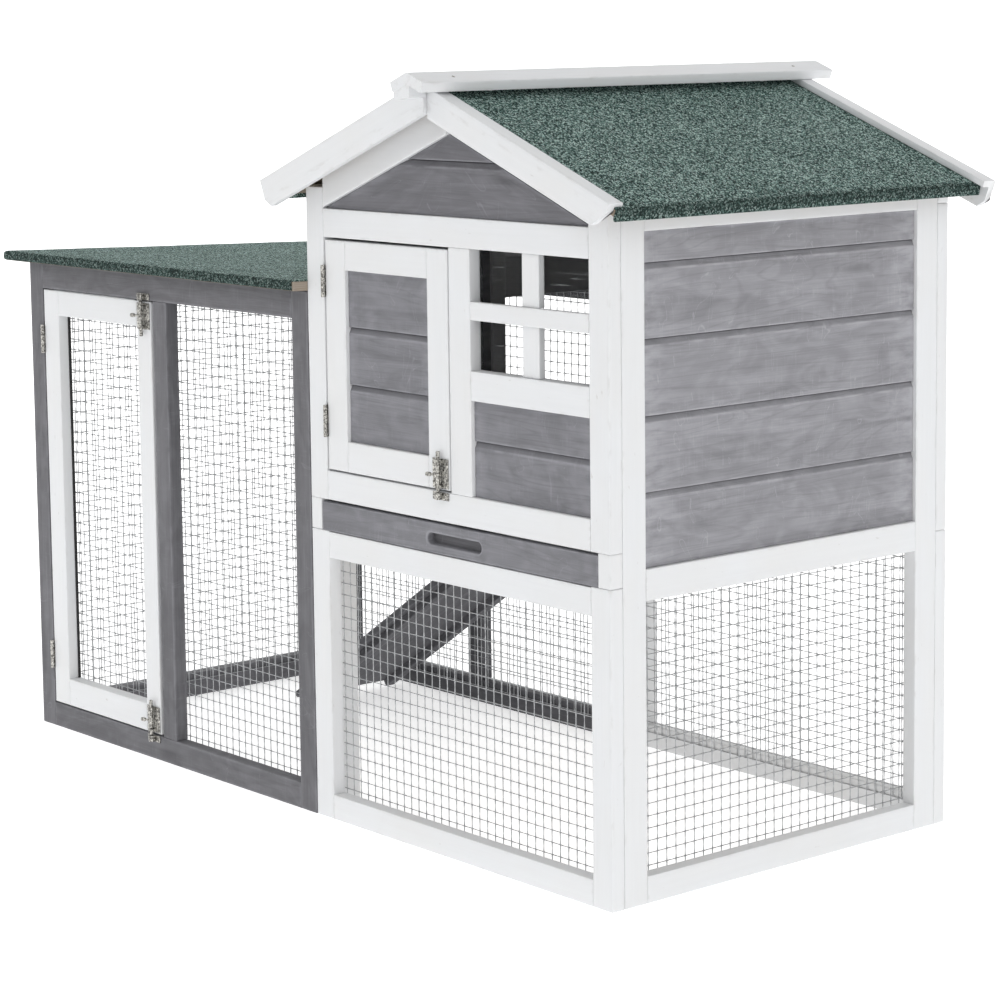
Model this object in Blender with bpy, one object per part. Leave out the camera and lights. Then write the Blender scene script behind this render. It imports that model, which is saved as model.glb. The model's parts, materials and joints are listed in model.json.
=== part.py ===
"""Rabbit hutch: a gabled timber house with a cabin above an open lower room, and a low wire run on its left.

Metres, +Z up, front towards -Y, length along X, origin at the middle of the footprint on the ground.
"""
import bpy
import bmesh
import math
from mathutils import Vector
from mathutils.geometry import tessellate_polygon

# ---------------------------------------------------------------- overall sizes
HOUSE_WIDTH = 0.530
HOUSE_DEPTH = 0.534
RUN_LENGTH = 0.633
PANEL_T = 0.018
STILE_W = 0.033
SIDE_FRONT_STILE_W = 0.0337
SIDE_BACK_STILE_W = 0.0347
JOINT_GAP = 0.0003
MOVE_GAP = 0.0006

# ---------------------------------------------------------------- house heights
DECK_Z = 0.353
TRAY_TOP_Z = 0.391
SILL_Z = 0.4257
CABIN_RAIL_Z = 0.352
HEADER_LOW_Z = 0.704
HEADER_TOP_Z = 0.7377
FOOT_RAIL_H = 0.0305
LOWER_HEAD_H = 0.0315
SIDE_MID_LOW_Z = 0.334
SIDE_MID_TOP_Z = 0.369
SIDE_PLANK_TOP_Z = 0.732

# ---------------------------------------------------------------- roof of the house
ROOF_SLOPE = 0.392
RIDGE_FELT_Z = 0.878
ROOF_BOARD_T = 0.008
ROOF_FELT_T = 0.002
EAVE_OVER = 0.035
VERGE_OVER = 0.0175
BARGE_OVER = 0.048
BARGE_LEG_T = 0.009
BARGE_DEPTH = 0.036
BARGE_FLANGE_T = 0.008
BARGE_FLANGE_W = 0.020
BARGE_FACE_OVER = 0.027
LEFT_BARGE_PROUD = 0.005
RAFTER_DEPTH = 0.034
CAP_T = 0.012
CAP_HALF_W = 0.029
CAP_END_OVER = 0.056

# ---------------------------------------------------------------- front of the house
DOOR_BAY = 0.2649
MULLION_W = 0.037
DOOR_GAP = 0.0029
DOOR_RAIL_W = 0.037
WINDOW_SILL_LOW_Z = 0.5345
WINDOW_SILL_TOP_Z = 0.568
WINDOW_BAR_LOW_Z = 0.6249
WINDOW_BAR_H = 0.0206
WINDOW_BAR_T = 0.0085
UPRIGHT_BAR_W = 0.028
UPRIGHT_RECESS = 0.004
UPRIGHT_BACK_Y = 0.0125
PANE_T = 0.002
PLANK_T = 0.009
PLANK_RECESS = 0.005

# ---------------------------------------------------------------- pop hole, ramp and tray
HOLE_WIDTH = 0.176
HOLE_TOP_Z = 0.590
HOLE_SILL_Z = 0.395
RAMP_IN_HOLE = 0.015
RAMP_WIDTH = 0.183
RAMP_TOP_Z = 0.330
RAMP_END_CLEAR = 0.063
RAMP_BOARD_T = 0.009
RAMP_BATTEN_W = 0.016
RAMP_BATTEN_H = 0.009
RAMP_CLEATS = 8
RAMP_CLEAT_W = 0.010
RAMP_CLEAT_H = 0.006
TRAY_NOTCH = 0.0195
TRAY_END_CLEAR = 0.001
TRAY_SIDE_CLEAR = 0.003
TRAY_PAN_T = 0.0012
TRAY_PAN_H = 0.024
TRAY_FRONT_T = 0.012
SLOT_HALF_LENGTH = 0.0415
SLOT_RADIUS = 0.0065
SLOT_OFF_CENTRE = 0.0025
FLOOR_T = 0.006

# ---------------------------------------------------------------- run
RUN_FRONT_Z = 0.6382
RUN_ROOF_SLOPE = 0.034
RUN_ROOF_OVER = 0.030
RUN_ROOF_FRONT_OVER = 0.022
RUN_ROOF_BACK_OVER = 0.022
RUN_BOARD_T = 0.011
RUN_HEAD_H = 0.0352
RUN_SIDE_HEAD_DROP = 0.018
RUN_FOOT_RAIL_H = 0.0327
RUN_DOOR_BAY = 0.2986
RUN_LATCH_GAP = 0.0054
RUN_POST_W = 0.030
RUN_STILE_W = 0.0315
RUN_DOOR_STILE_W = 0.0345

# ---------------------------------------------------------------- wire, hardware
WIRE_T = 0.0015
WIRE_PITCH = 0.088
MESH_LAP = 0.010
MESH_EDGE_CLEAR = 0.003
HINGE_L = 0.038
HINGE_R = 0.0025
HINGE_PIN_R = 0.0012
HINGE_BORE_R = 0.0016
HINGE_LEAF_T = 0.0009
HINGE_LEAF_W = 0.015
HOUSE_HINGE_UP = 0.0576
HOUSE_HINGE_DOWN = 0.0487
RUN_HINGE_UP = 0.0658
RUN_HINGE_DOWN = 0.0671
RAMP_HINGE_HALF = 0.045
BOLT_PLATE_W = 0.028
BOLT_PLATE_H = 0.034
BOLT_PLATE_T = 0.0012
BOLT_R = 0.0024
BOLT_CLEAR = 0.0006
BOLT_LOOP_W = 0.011
BOLT_LOOP_H = 0.0035
BOLT_LOOP_INSET = 0.001
BOLT_INSET = 0.0153
KEEPER_H = 0.009
KNOB_AT = 0.016
BOLT_TAIL = 0.009
KNOB_L = 0.016
KNOB_R = 0.0027

X_SHIFT = (RUN_LENGTH + HOUSE_WIDTH + RUN_ROOF_OVER - BARGE_OVER) / 2
Y_SHIFT = -HOUSE_DEPTH / 2
HOUSE_L = -HOUSE_WIDTH
RUN_L = HOUSE_L - RUN_LENGTH
RIDGE_X = HOUSE_L / 2
BACK_Y = HOUSE_DEPTH - PANEL_T
SIDE_FRONT_Y = PANEL_T + JOINT_GAP
SIDE_BACK_Y = BACK_Y - JOINT_GAP
SIDE_STILE_IN = SIDE_FRONT_Y + SIDE_FRONT_STILE_W
SIDE_STILE_BACK = SIDE_BACK_Y - SIDE_BACK_STILE_W
HOLE_FRONT_Y = SIDE_STILE_BACK - HOLE_WIDTH
RAMP_FRONT_Y = HOLE_FRONT_Y + RAMP_IN_HOLE
RAMP_LENGTH = RUN_LENGTH - RAMP_END_CLEAR
MULLION_LEFT = HOUSE_L + DOOR_BAY
RUN_POST_LEFT = RUN_L + RUN_DOOR_BAY
RUN_DOOR_RIGHT = RUN_POST_LEFT - RUN_LATCH_GAP
RUN_TOP_RAIL_LOW = RUN_FRONT_Z - RUN_HEAD_H
RUN_SIDE_HEAD_LOW = RUN_TOP_RAIL_LOW - RUN_SIDE_HEAD_DROP
WINDOW_RIGHT = -STILE_W + 0.0017
WINDOW_LEFT = MULLION_LEFT + MULLION_W
HOUSE_DOOR_L = HOUSE_L + STILE_W + DOOR_GAP
HOUSE_DOOR_R = MULLION_LEFT - 0.0021
HOUSE_DOOR_LOW = SILL_Z + 0.0024
HOUSE_DOOR_TOP = HEADER_LOW_Z - 0.0031
RUN_DOOR_L = RUN_L + RUN_STILE_W + DOOR_GAP
RUN_DOOR_LOW = RUN_FOOT_RAIL_H + 0.002
RUN_DOOR_TOP = RUN_TOP_RAIL_LOW - 0.0015
ROOF_COS = 1 / math.sqrt(1 + ROOF_SLOPE ** 2)
ROOF_SIN = ROOF_SLOPE * ROOF_COS
ROOF_T = ROOF_BOARD_T + ROOF_FELT_T

MATERIALS = {
    "white_paint": ((0.80, 0.81, 0.82), 0.55, 0.0),
    "grey_stain": ((0.18, 0.18, 0.19), 0.65, 0.0),
    "green_felt": ((0.10, 0.20, 0.17), 0.95, 0.0),
    "bare_ply": ((0.45, 0.36, 0.25), 0.70, 0.0),
    "galvanised": ((0.45, 0.46, 0.47), 0.40, 1.0),
    "zinc": ((0.62, 0.62, 0.60), 0.30, 1.0),
    "clear_sheet": ((0.85, 0.88, 0.90), 0.10, 0.0),
}


def material(node, kind):
    """One Principled material per node."""
    colour, roughness, metallic = MATERIALS[kind]
    mat = bpy.data.materials.new(node)
    mat.use_nodes = True
    shader = mat.node_tree.nodes["Principled BSDF"]
    shader.inputs["Base Color"].default_value = (*colour, 1.0)
    shader.inputs["Roughness"].default_value = roughness
    shader.inputs["Metallic"].default_value = metallic
    return mat


def put(node, verts, faces, kind, origin=(0.0, 0.0, 0.0), smooth=False):
    """Make the named node from house-frame points; origin is its turning point in the same frame."""
    pivot = Vector((origin[0] + X_SHIFT, origin[1] + Y_SHIFT, origin[2])) if any(origin) else Vector()
    points = [Vector((x + X_SHIFT, y + Y_SHIFT, z)) - pivot for x, y, z in verts]
    mesh = bpy.data.meshes.new(node)
    mesh.from_pydata(points, [], faces)
    work = bmesh.new()
    work.from_mesh(mesh)
    bmesh.ops.recalc_face_normals(work, faces=work.faces)
    work.to_mesh(mesh)
    work.free()
    obj = bpy.data.objects.new(node, mesh)
    obj.location = pivot
    bpy.context.scene.collection.objects.link(obj)
    mesh.materials.append(material(node, kind))
    if smooth:
        mesh.shade_smooth()
    return obj


def box_mesh(low, high):
    """Eight corners and six faces of an upright box."""
    (a, b, c), (d, e, f) = low, high
    verts = [(a, b, c), (d, b, c), (d, e, c), (a, e, c), (a, b, f), (d, b, f), (d, e, f), (a, e, f)]
    faces = [(0, 3, 2, 1), (4, 5, 6, 7), (0, 1, 5, 4), (1, 2, 6, 5), (2, 3, 7, 6), (3, 0, 4, 7)]
    return verts, faces


def box(node, low, high, kind, origin=(0.0, 0.0, 0.0)):
    """A plain board."""
    return put(node, *box_mesh(low, high), kind, origin)


def cells_mesh(outer, holes, t0, t1, place):
    """A flat panel with rectangular holes, as one closed body on a grid of cut lines."""
    us = sorted({outer[0], outer[2]} | {v for h in holes for v in (h[0], h[2])})
    vs = sorted({outer[1], outer[3]} | {v for h in holes for v in (h[1], h[3])})

    def solid(i, j):
        if not (0 <= i < len(us) - 1 and 0 <= j < len(vs) - 1):
            return False
        u, v = (us[i] + us[i + 1]) / 2, (vs[j] + vs[j + 1]) / 2
        return not any(h[0] < u < h[2] and h[1] < v < h[3] for h in holes)

    index, verts, faces = {}, [], []

    def corner(i, j, side):
        key = (i, j, side)
        if key not in index:
            index[key] = len(verts)
            verts.append(place(us[i], vs[j], t1 if side else t0))
        return index[key]

    for i in range(len(us) - 1):
        for j in range(len(vs) - 1):
            if not solid(i, j):
                continue
            ring = [(i, j), (i + 1, j), (i + 1, j + 1), (i, j + 1)]
            faces.append([corner(*p, 0) for p in ring])
            faces.append([corner(*p, 1) for p in reversed(ring)])
            beyond = [(i, j - 1), (i + 1, j), (i, j + 1), (i - 1, j)]
            for side in range(4):
                if not solid(*beyond[side]):
                    p, q = ring[side], ring[(side + 1) % 4]
                    faces.append([corner(*q, 0), corner(*p, 0), corner(*p, 1), corner(*q, 1)])
    return verts, faces


def facing_front(u, v, t):
    """Panel plane x-z, thickness along y."""
    return (u, t, v)


def facing_side(u, v, t):
    """Panel plane y-z, thickness along x."""
    return (t, u, v)


def lying(u, v, t):
    """Panel plane x-y, thickness along z."""
    return (u, v, t)


def panel(node, outer, holes, t0, t1, place, kind, origin=(0.0, 0.0, 0.0)):
    """A framed panel node."""
    return put(node, *cells_mesh(outer, holes, t0, t1, place), kind, origin)


def wire_panel(node, outer, t0, place, origin=(0.0, 0.0, 0.0)):
    """Welded wire sheet: square wires on an even grid, edge wires all round."""
    u0, v0, u1, v1 = outer
    count_u = max(2, round((u1 - u0) / WIRE_PITCH))
    count_v = max(2, round((v1 - v0) / WIRE_PITCH))
    step_u, step_v = (u1 - u0 - WIRE_T) / count_u, (v1 - v0 - WIRE_T) / count_v
    holes = []
    for i in range(count_u):
        for j in range(count_v):
            u, v = u0 + WIRE_T + i * step_u, v0 + WIRE_T + j * step_v
            holes.append((round(u, 6), round(v, 6), round(u + step_u - WIRE_T, 6), round(v + step_v - WIRE_T, 6)))
    return panel(node, outer, holes, t0, t0 + WIRE_T, place, "galvanised", origin)


def prism_mesh(outline, t0, t1, place, holes=()):
    """A straight prism over an outline with optional holes, as one closed body."""
    loops = [list(outline)] + [list(h) for h in holes]
    flat = [p for loop in loops for p in loop]
    tris = tessellate_polygon([[Vector((u, v, 0)) for u, v in loop] for loop in loops])
    count = len(flat)
    verts = [place(u, v, t0) for u, v in flat] + [place(u, v, t1) for u, v in flat]
    faces = [list(t) for t in tris] + [[i + count for i in reversed(t)] for t in tris]
    start = 0
    for loop in loops:
        for k in range(len(loop)):
            a, b = start + k, start + (k + 1) % len(loop)
            faces.append([a, b, b + count, a + count])
        start += len(loop)
    return verts, faces


def prism(node, outline, t0, t1, place, kind, holes=(), origin=(0.0, 0.0, 0.0)):
    """A prism node."""
    return put(node, *prism_mesh(outline, t0, t1, place, holes), kind, origin)


def lathe_mesh(profile, centre, axis, side, count=12):
    """A turned body: profile is (radius, height) pairs, radius 0 closes an end, a loop makes a tube."""
    axis, side = Vector(axis), Vector(side)
    other = axis.cross(side)
    verts, rings = [], []
    for radius, height in profile:
        base = Vector(centre) + axis * height
        if radius == 0:
            rings.append([len(verts)])
            verts.append(tuple(base))
            continue
        rings.append(list(range(len(verts), len(verts) + count)))
        for k in range(count):
            turn = 2 * math.pi * k / count
            verts.append(tuple(base + side * (radius * math.cos(turn)) + other * (radius * math.sin(turn))))
    faces = []
    closed = profile[0][0] > 0
    pairs = list(zip(rings, rings[1:])) + ([(rings[-1], rings[0])] if closed else [])
    for low, high in pairs:
        for k in range(count):
            n = (k + 1) % count
            if len(low) == 1:
                faces.append([low[0], high[k], high[n]])
            elif len(high) == 1:
                faces.append([low[n], low[k], high[0]])
            else:
                faces.append([low[k], low[n], high[n], high[k]])
    return verts, faces


def union(node, bodies, kind, origin=(0.0, 0.0, 0.0)):
    """Join overlapping closed bodies into one with exact Booleans."""
    first = put(node, *bodies[0], kind, origin)
    for k, body in enumerate(bodies[1:]):
        tool = put(node + "_join%d" % k, *body, kind, origin)
        tool.display_type = "WIRE"
        tool.hide_render = True
        step = first.modifiers.new("join", "BOOLEAN")
        step.operation = "UNION"
        step.solver = "EXACT"
        step.object = tool
        bpy.context.view_layer.update()
        result = bpy.data.meshes.new_from_object(first.evaluated_get(bpy.context.evaluated_depsgraph_get()))
        first.modifiers.clear()
        old = first.data
        first.data = result
        bpy.data.meshes.remove(old)
        bpy.data.objects.remove(tool)
    while len(first.data.materials) > 1:
        first.data.materials.pop()
    work = bmesh.new()
    work.from_mesh(first.data)
    bmesh.ops.remove_doubles(work, verts=work.verts, dist=0.00002)
    bmesh.ops.dissolve_degenerate(work, edges=work.edges, dist=0.00001)
    work.to_mesh(first.data)
    work.free()
    return first


# ---------------------------------------------------------------- house frames
def build_house_front():
    """Front panels, gable, planks, window bars and pane."""
    stile_r = WINDOW_RIGHT
    rails = cells_mesh((HOUSE_L, DECK_Z + JOINT_GAP, 0.0, HEADER_TOP_Z),
                       [(HOUSE_L + TRAY_NOTCH, DECK_Z + JOINT_GAP, -TRAY_NOTCH, TRAY_TOP_Z),
                        (HOUSE_L + STILE_W, SILL_Z, MULLION_LEFT, HEADER_LOW_Z),
                        (WINDOW_LEFT, SILL_Z, stile_r, WINDOW_SILL_LOW_Z),
                        (WINDOW_LEFT, WINDOW_SILL_TOP_Z, stile_r, HEADER_LOW_Z)],
                       0.0, PANEL_T, facing_front)
    wall_top = roof_under(0.0) - JOINT_GAP
    low = HEADER_TOP_Z + JOINT_GAP
    sunk = HEADER_TOP_Z - 0.002
    peak = roof_under(RIDGE_X) - JOINT_GAP
    inner_peak = peak - RAFTER_DEPTH / ROOF_COS
    foot = (inner_peak - sunk) / ROOF_SLOPE
    rafters = prism_mesh([(HOUSE_L, sunk), (RIDGE_X - foot, sunk), (RIDGE_X, inner_peak), (RIDGE_X + foot, sunk),
                          (0.0, sunk), (0.0, wall_top), (RIDGE_X, peak), (HOUSE_L, wall_top)],
                         0.0, PANEL_T, facing_front)
    union("front_upper_frame", [rails, rafters], "white_paint")
    trim = JOINT_GAP * 2.5
    plank_foot = (inner_peak - trim - low) / ROOF_SLOPE
    prism("front_gable_planks", [(RIDGE_X - plank_foot, low), (RIDGE_X + plank_foot, low),
                                 (RIDGE_X, inner_peak - trim)],
          PLANK_RECESS, PLANK_RECESS + PLANK_T, facing_front, "grey_stain")
    box("front_planks", (WINDOW_LEFT + JOINT_GAP, PLANK_RECESS, SILL_Z + JOINT_GAP),
        (stile_r - JOINT_GAP, PLANK_RECESS + PLANK_T, WINDOW_SILL_LOW_Z - JOINT_GAP), "grey_stain")
    mid = (WINDOW_LEFT + stile_r) / 2
    y2 = UPRIGHT_BACK_Y
    z0, z3 = WINDOW_SILL_TOP_Z + JOINT_GAP, HEADER_LOW_Z - JOINT_GAP
    level = box_mesh((WINDOW_LEFT + JOINT_GAP, 0.0, WINDOW_BAR_LOW_Z),
                     (stile_r - JOINT_GAP, WINDOW_BAR_T, WINDOW_BAR_LOW_Z + WINDOW_BAR_H))
    upright = box_mesh((mid - UPRIGHT_BAR_W / 2, UPRIGHT_RECESS, z0), (mid + UPRIGHT_BAR_W / 2, y2, z3))
    union("window_bars", [level, upright], "white_paint")
    box("window_pane", (WINDOW_LEFT + JOINT_GAP, y2 + JOINT_GAP, z0),
        (stile_r - JOINT_GAP, y2 + JOINT_GAP + PANE_T, z3), "clear_sheet")
    panel("front_lower_frame", (HOUSE_L, 0.0, 0.0, DECK_Z),
          [(HOUSE_L + STILE_W, FOOT_RAIL_H, stile_r, CABIN_RAIL_Z - LOWER_HEAD_H)],
          0.0, PANEL_T, facing_front, "white_paint")
    wire_panel("front_lower_mesh", (HOUSE_L + PANEL_T + MESH_EDGE_CLEAR, FOOT_RAIL_H - MESH_LAP,
                                    -PANEL_T - MESH_EDGE_CLEAR, CABIN_RAIL_Z - LOWER_HEAD_H + MESH_LAP),
               PANEL_T + JOINT_GAP, facing_front)


def build_house_sides():
    """Right wall with planks over mesh; left wall with the pop hole over an open lower room."""
    y0, y1 = SIDE_FRONT_Y, SIDE_BACK_Y
    a, b = SIDE_STILE_IN, SIDE_STILE_BACK
    top = roof_under(0.0) - JOINT_GAP
    panel("right_side_frame", (y0, 0.0, y1, top),
          [(a, FOOT_RAIL_H, b, SIDE_MID_LOW_Z), (a, SIDE_MID_TOP_Z, b, SIDE_PLANK_TOP_Z)],
          -PANEL_T, 0.0, facing_side, "white_paint")
    box("right_side_planks", (-PLANK_RECESS - PLANK_T, a + JOINT_GAP, SIDE_MID_TOP_Z + JOINT_GAP),
        (-PLANK_RECESS, b - JOINT_GAP, SIDE_PLANK_TOP_Z - JOINT_GAP), "grey_stain")
    wire_panel("right_side_mesh", (a - MESH_LAP, FOOT_RAIL_H - MESH_LAP, b + MESH_LAP, SIDE_MID_LOW_Z - 0.007),
               -PANEL_T - JOINT_GAP - WIRE_T, facing_side)
    post = HOLE_FRONT_Y
    panel("left_side_frame", (y0, 0.0, y1, top),
          [(a, 0.0, b, SIDE_MID_LOW_Z - 0.012),
           (a, SIDE_MID_TOP_Z, post - STILE_W, SIDE_PLANK_TOP_Z),
           (post, HOLE_SILL_Z, b, HOLE_TOP_Z)],
          HOUSE_L, HOUSE_L + PANEL_T, facing_side, "white_paint")
    box("left_side_planks", (HOUSE_L + PLANK_RECESS, a + JOINT_GAP, SIDE_MID_TOP_Z + JOINT_GAP),
        (HOUSE_L + PLANK_RECESS + PLANK_T, post - STILE_W - JOINT_GAP, SIDE_PLANK_TOP_Z - JOINT_GAP), "grey_stain")


def build_house_back():
    """Back wall: planks above, mesh below."""
    stile_r = WINDOW_RIGHT
    rails = cells_mesh((HOUSE_L, DECK_Z + JOINT_GAP, 0.0, HEADER_TOP_Z),
                       [(HOUSE_L + STILE_W, TRAY_TOP_Z, stile_r, HEADER_LOW_Z)], BACK_Y, HOUSE_DEPTH, facing_front)
    wall_top = roof_under(0.0) - JOINT_GAP
    sunk = HEADER_TOP_Z - 0.002
    gable = prism_mesh([(HOUSE_L, sunk), (0.0, sunk), (0.0, wall_top), (RIDGE_X, roof_under(RIDGE_X) - JOINT_GAP),
                        (HOUSE_L, wall_top)], BACK_Y, HOUSE_DEPTH, facing_front)
    union("back_upper_frame", [rails, gable], "white_paint")
    box("back_planks", (HOUSE_L + STILE_W + JOINT_GAP, HOUSE_DEPTH - PLANK_RECESS - PLANK_T, TRAY_TOP_Z + JOINT_GAP),
        (stile_r - JOINT_GAP, HOUSE_DEPTH - PLANK_RECESS, HEADER_LOW_Z - JOINT_GAP), "grey_stain")
    panel("back_lower_frame", (HOUSE_L, 0.0, 0.0, DECK_Z),
          [(HOUSE_L + STILE_W, FOOT_RAIL_H, stile_r, CABIN_RAIL_Z - LOWER_HEAD_H)],
          BACK_Y, HOUSE_DEPTH, facing_front, "white_paint")
    wire_panel("back_lower_mesh", (HOUSE_L + PANEL_T + MESH_EDGE_CLEAR, FOOT_RAIL_H - MESH_LAP,
                                   -PANEL_T - MESH_EDGE_CLEAR, CABIN_RAIL_Z - LOWER_HEAD_H + MESH_LAP),
               BACK_Y - JOINT_GAP - WIRE_T, facing_front)


def build_floor_and_tray():
    """Floor sheet between the walls, and the pull-out tray that slides on it."""
    y0, y1 = PANEL_T + 2 * JOINT_GAP, BACK_Y - 2 * JOINT_GAP
    x0, x1 = HOUSE_L + PANEL_T + JOINT_GAP, -PANEL_T - JOINT_GAP
    floor_top = DECK_Z - 0.0006
    box("floor_sheet", (x0, y0, floor_top - FLOOR_T), (x1, y1, floor_top), "bare_ply")
    tray_low = floor_top + MOVE_GAP
    tray_l, tray_r = HOUSE_L + TRAY_NOTCH + TRAY_END_CLEAR, -TRAY_NOTCH - TRAY_END_CLEAR
    front_top = TRAY_TOP_Z - 0.0035
    mid = HOUSE_L / 2 + SLOT_OFF_CENTRE
    slot_z = (DECK_Z + front_top) / 2 - 0.001
    slot = []
    for k in range(9):
        turn = math.pi * (0.5 + k / 8)
        slot.append((mid - SLOT_HALF_LENGTH + SLOT_RADIUS * math.cos(turn), slot_z + SLOT_RADIUS * math.sin(turn)))
    for k in range(9):
        turn = math.pi * (1.5 + k / 8)
        slot.append((mid + SLOT_HALF_LENGTH + SLOT_RADIUS * math.cos(turn), slot_z + SLOT_RADIUS * math.sin(turn)))
    outline = [(tray_l, tray_low), (tray_r, tray_low), (tray_r, front_top), (tray_l, front_top)]
    prism("tray_front", outline, 0.0005, TRAY_FRONT_T, facing_front, "grey_stain", [slot])
    pan_l, pan_r = tray_l + TRAY_SIDE_CLEAR, tray_r - TRAY_SIDE_CLEAR
    pan_y0, pan_y1 = TRAY_FRONT_T + JOINT_GAP, BACK_Y - 0.010
    top = tray_low + TRAY_PAN_H
    t = TRAY_PAN_T
    outer = [(pan_l, pan_y0), (pan_r, pan_y0), (pan_r, pan_y1), (pan_l, pan_y1)]
    inner = [(pan_l + t, pan_y0 + t), (pan_r - t, pan_y0 + t), (pan_r - t, pan_y1 - t), (pan_l + t, pan_y1 - t)]
    verts = [(x, y, tray_low) for x, y in outer] + [(x, y, top) for x, y in outer]
    verts += [(x, y, top) for x, y in inner] + [(x, y, tray_low + t) for x, y in inner]
    faces = [(3, 2, 1, 0), (12, 13, 14, 15)]
    for k in range(4):
        n = (k + 1) % 4
        faces.append((k, n, n + 4, k + 4))
        faces.append((k + 4, n + 4, n + 8, k + 8))
        faces.append((k + 8, n + 8, n + 12, k + 12))
    put("tray_pan", verts, faces, "galvanised")


# ---------------------------------------------------------------- house roof
def roof_felt(x):
    """Height of the felt's top surface above the ground."""
    return RIDGE_FELT_Z - ROOF_SLOPE * abs(x - RIDGE_X)


def roof_under(x):
    """Height of the roof board's underside."""
    return roof_felt(x) - (ROOF_T + JOINT_GAP) / ROOF_COS


def roof_point(hand, run, lift):
    """Point on one slope: run is measured level from the ridge, lift square to the felt's surface."""
    return (RIDGE_X + hand * (run + lift * ROOF_SIN), RIDGE_FELT_Z - ROOF_SLOPE * run + lift * ROOF_COS)


def build_house_roof():
    """Two boards, two felts, four barge boards and the ridge cap."""
    y0, y1 = -VERGE_OVER, HOUSE_DEPTH + VERGE_OVER
    reach = -RIDGE_X + EAVE_OVER
    for hand, word in ((-1, "left"), (1, "right")):
        def at(run, lift):
            return roof_point(hand, run, lift)

        def seam(lift, gap=0.0004):
            """Plumb cut at the ridge: the run that brings a lifted point to the centre line."""
            return gap - lift * ROOF_SIN
        low, high = -ROOF_T, -ROOF_FELT_T - JOINT_GAP
        board = [at(seam(low), low), at(reach - ROOF_FELT_T - JOINT_GAP, low),
                 at(reach - ROOF_FELT_T - JOINT_GAP, high), at(seam(high), high)]
        prism("roof_board_" + word, board, y0, y1, facing_front, "bare_ply")
        felt = [at(seam(-ROOF_FELT_T), -ROOF_FELT_T), at(reach - ROOF_FELT_T, -ROOF_FELT_T),
                at(reach - ROOF_FELT_T, -ROOF_T), at(reach, -ROOF_T), at(reach, 0.0), at(seam(0.0), 0.0)]
        prism("roof_felt_" + word, felt, y0, y1, facing_front, "green_felt")
        for end, inward in (("front", 1), ("back", -1)):
            proud = LEFT_BARGE_PROUD if (word, end) == ("left", "front") else 0.0
            face = -BARGE_FACE_OVER - proud if end == "front" else HOUSE_DEPTH + BARGE_FACE_OVER
            top, under, foot = BARGE_FLANGE_T, JOINT_GAP, BARGE_FLANGE_T - BARGE_DEPTH
            leg = face + inward * BARGE_LEG_T
            edge = face + inward * (BARGE_FLANGE_W + proud)
            section = [(face, foot), (leg, foot), (leg, under), (edge, under), (edge, top), (face, top)]
            verts = []
            for y, lift in section:
                x, z = at(seam(lift), lift)
                verts.append((x, y, z))
            end_run = -RIDGE_X + BARGE_OVER - top * ROOF_SIN
            for y, lift in section:
                x, z = at(end_run, lift)
                verts.append((x, y, z))
            faces = [(0, 1, 2, 5), (5, 2, 3, 4), (11, 8, 7, 6), (10, 9, 8, 11)]
            faces += [(k, k + 6, (k + 1) % 6 + 6, (k + 1) % 6) for k in range(6)]
            put("barge_%s_%s" % (end, word), verts, faces, "white_paint")
    lift = BARGE_FLANGE_T + JOINT_GAP
    base = RIDGE_FELT_Z + lift / ROOF_COS
    rise = CAP_T / ROOF_COS
    w = CAP_HALF_W
    cut = CAP_T * ROOF_SIN
    z_out = base + rise - ROOF_SLOPE * w
    z_in = z_out - CAP_T * ROOF_COS
    cap = [(RIDGE_X, base + rise), (RIDGE_X + w, z_out), (RIDGE_X + w - cut, z_in), (RIDGE_X, base),
           (RIDGE_X - w + cut, z_in), (RIDGE_X - w, z_out)]
    prism("ridge_cap", cap, -CAP_END_OVER, HOUSE_DEPTH + CAP_END_OVER, facing_front, "white_paint")


# ---------------------------------------------------------------- run
def run_under(y):
    """Height of the underside of the run's roof."""
    return RUN_FRONT_Z - RUN_ROOF_SLOPE * y


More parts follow.
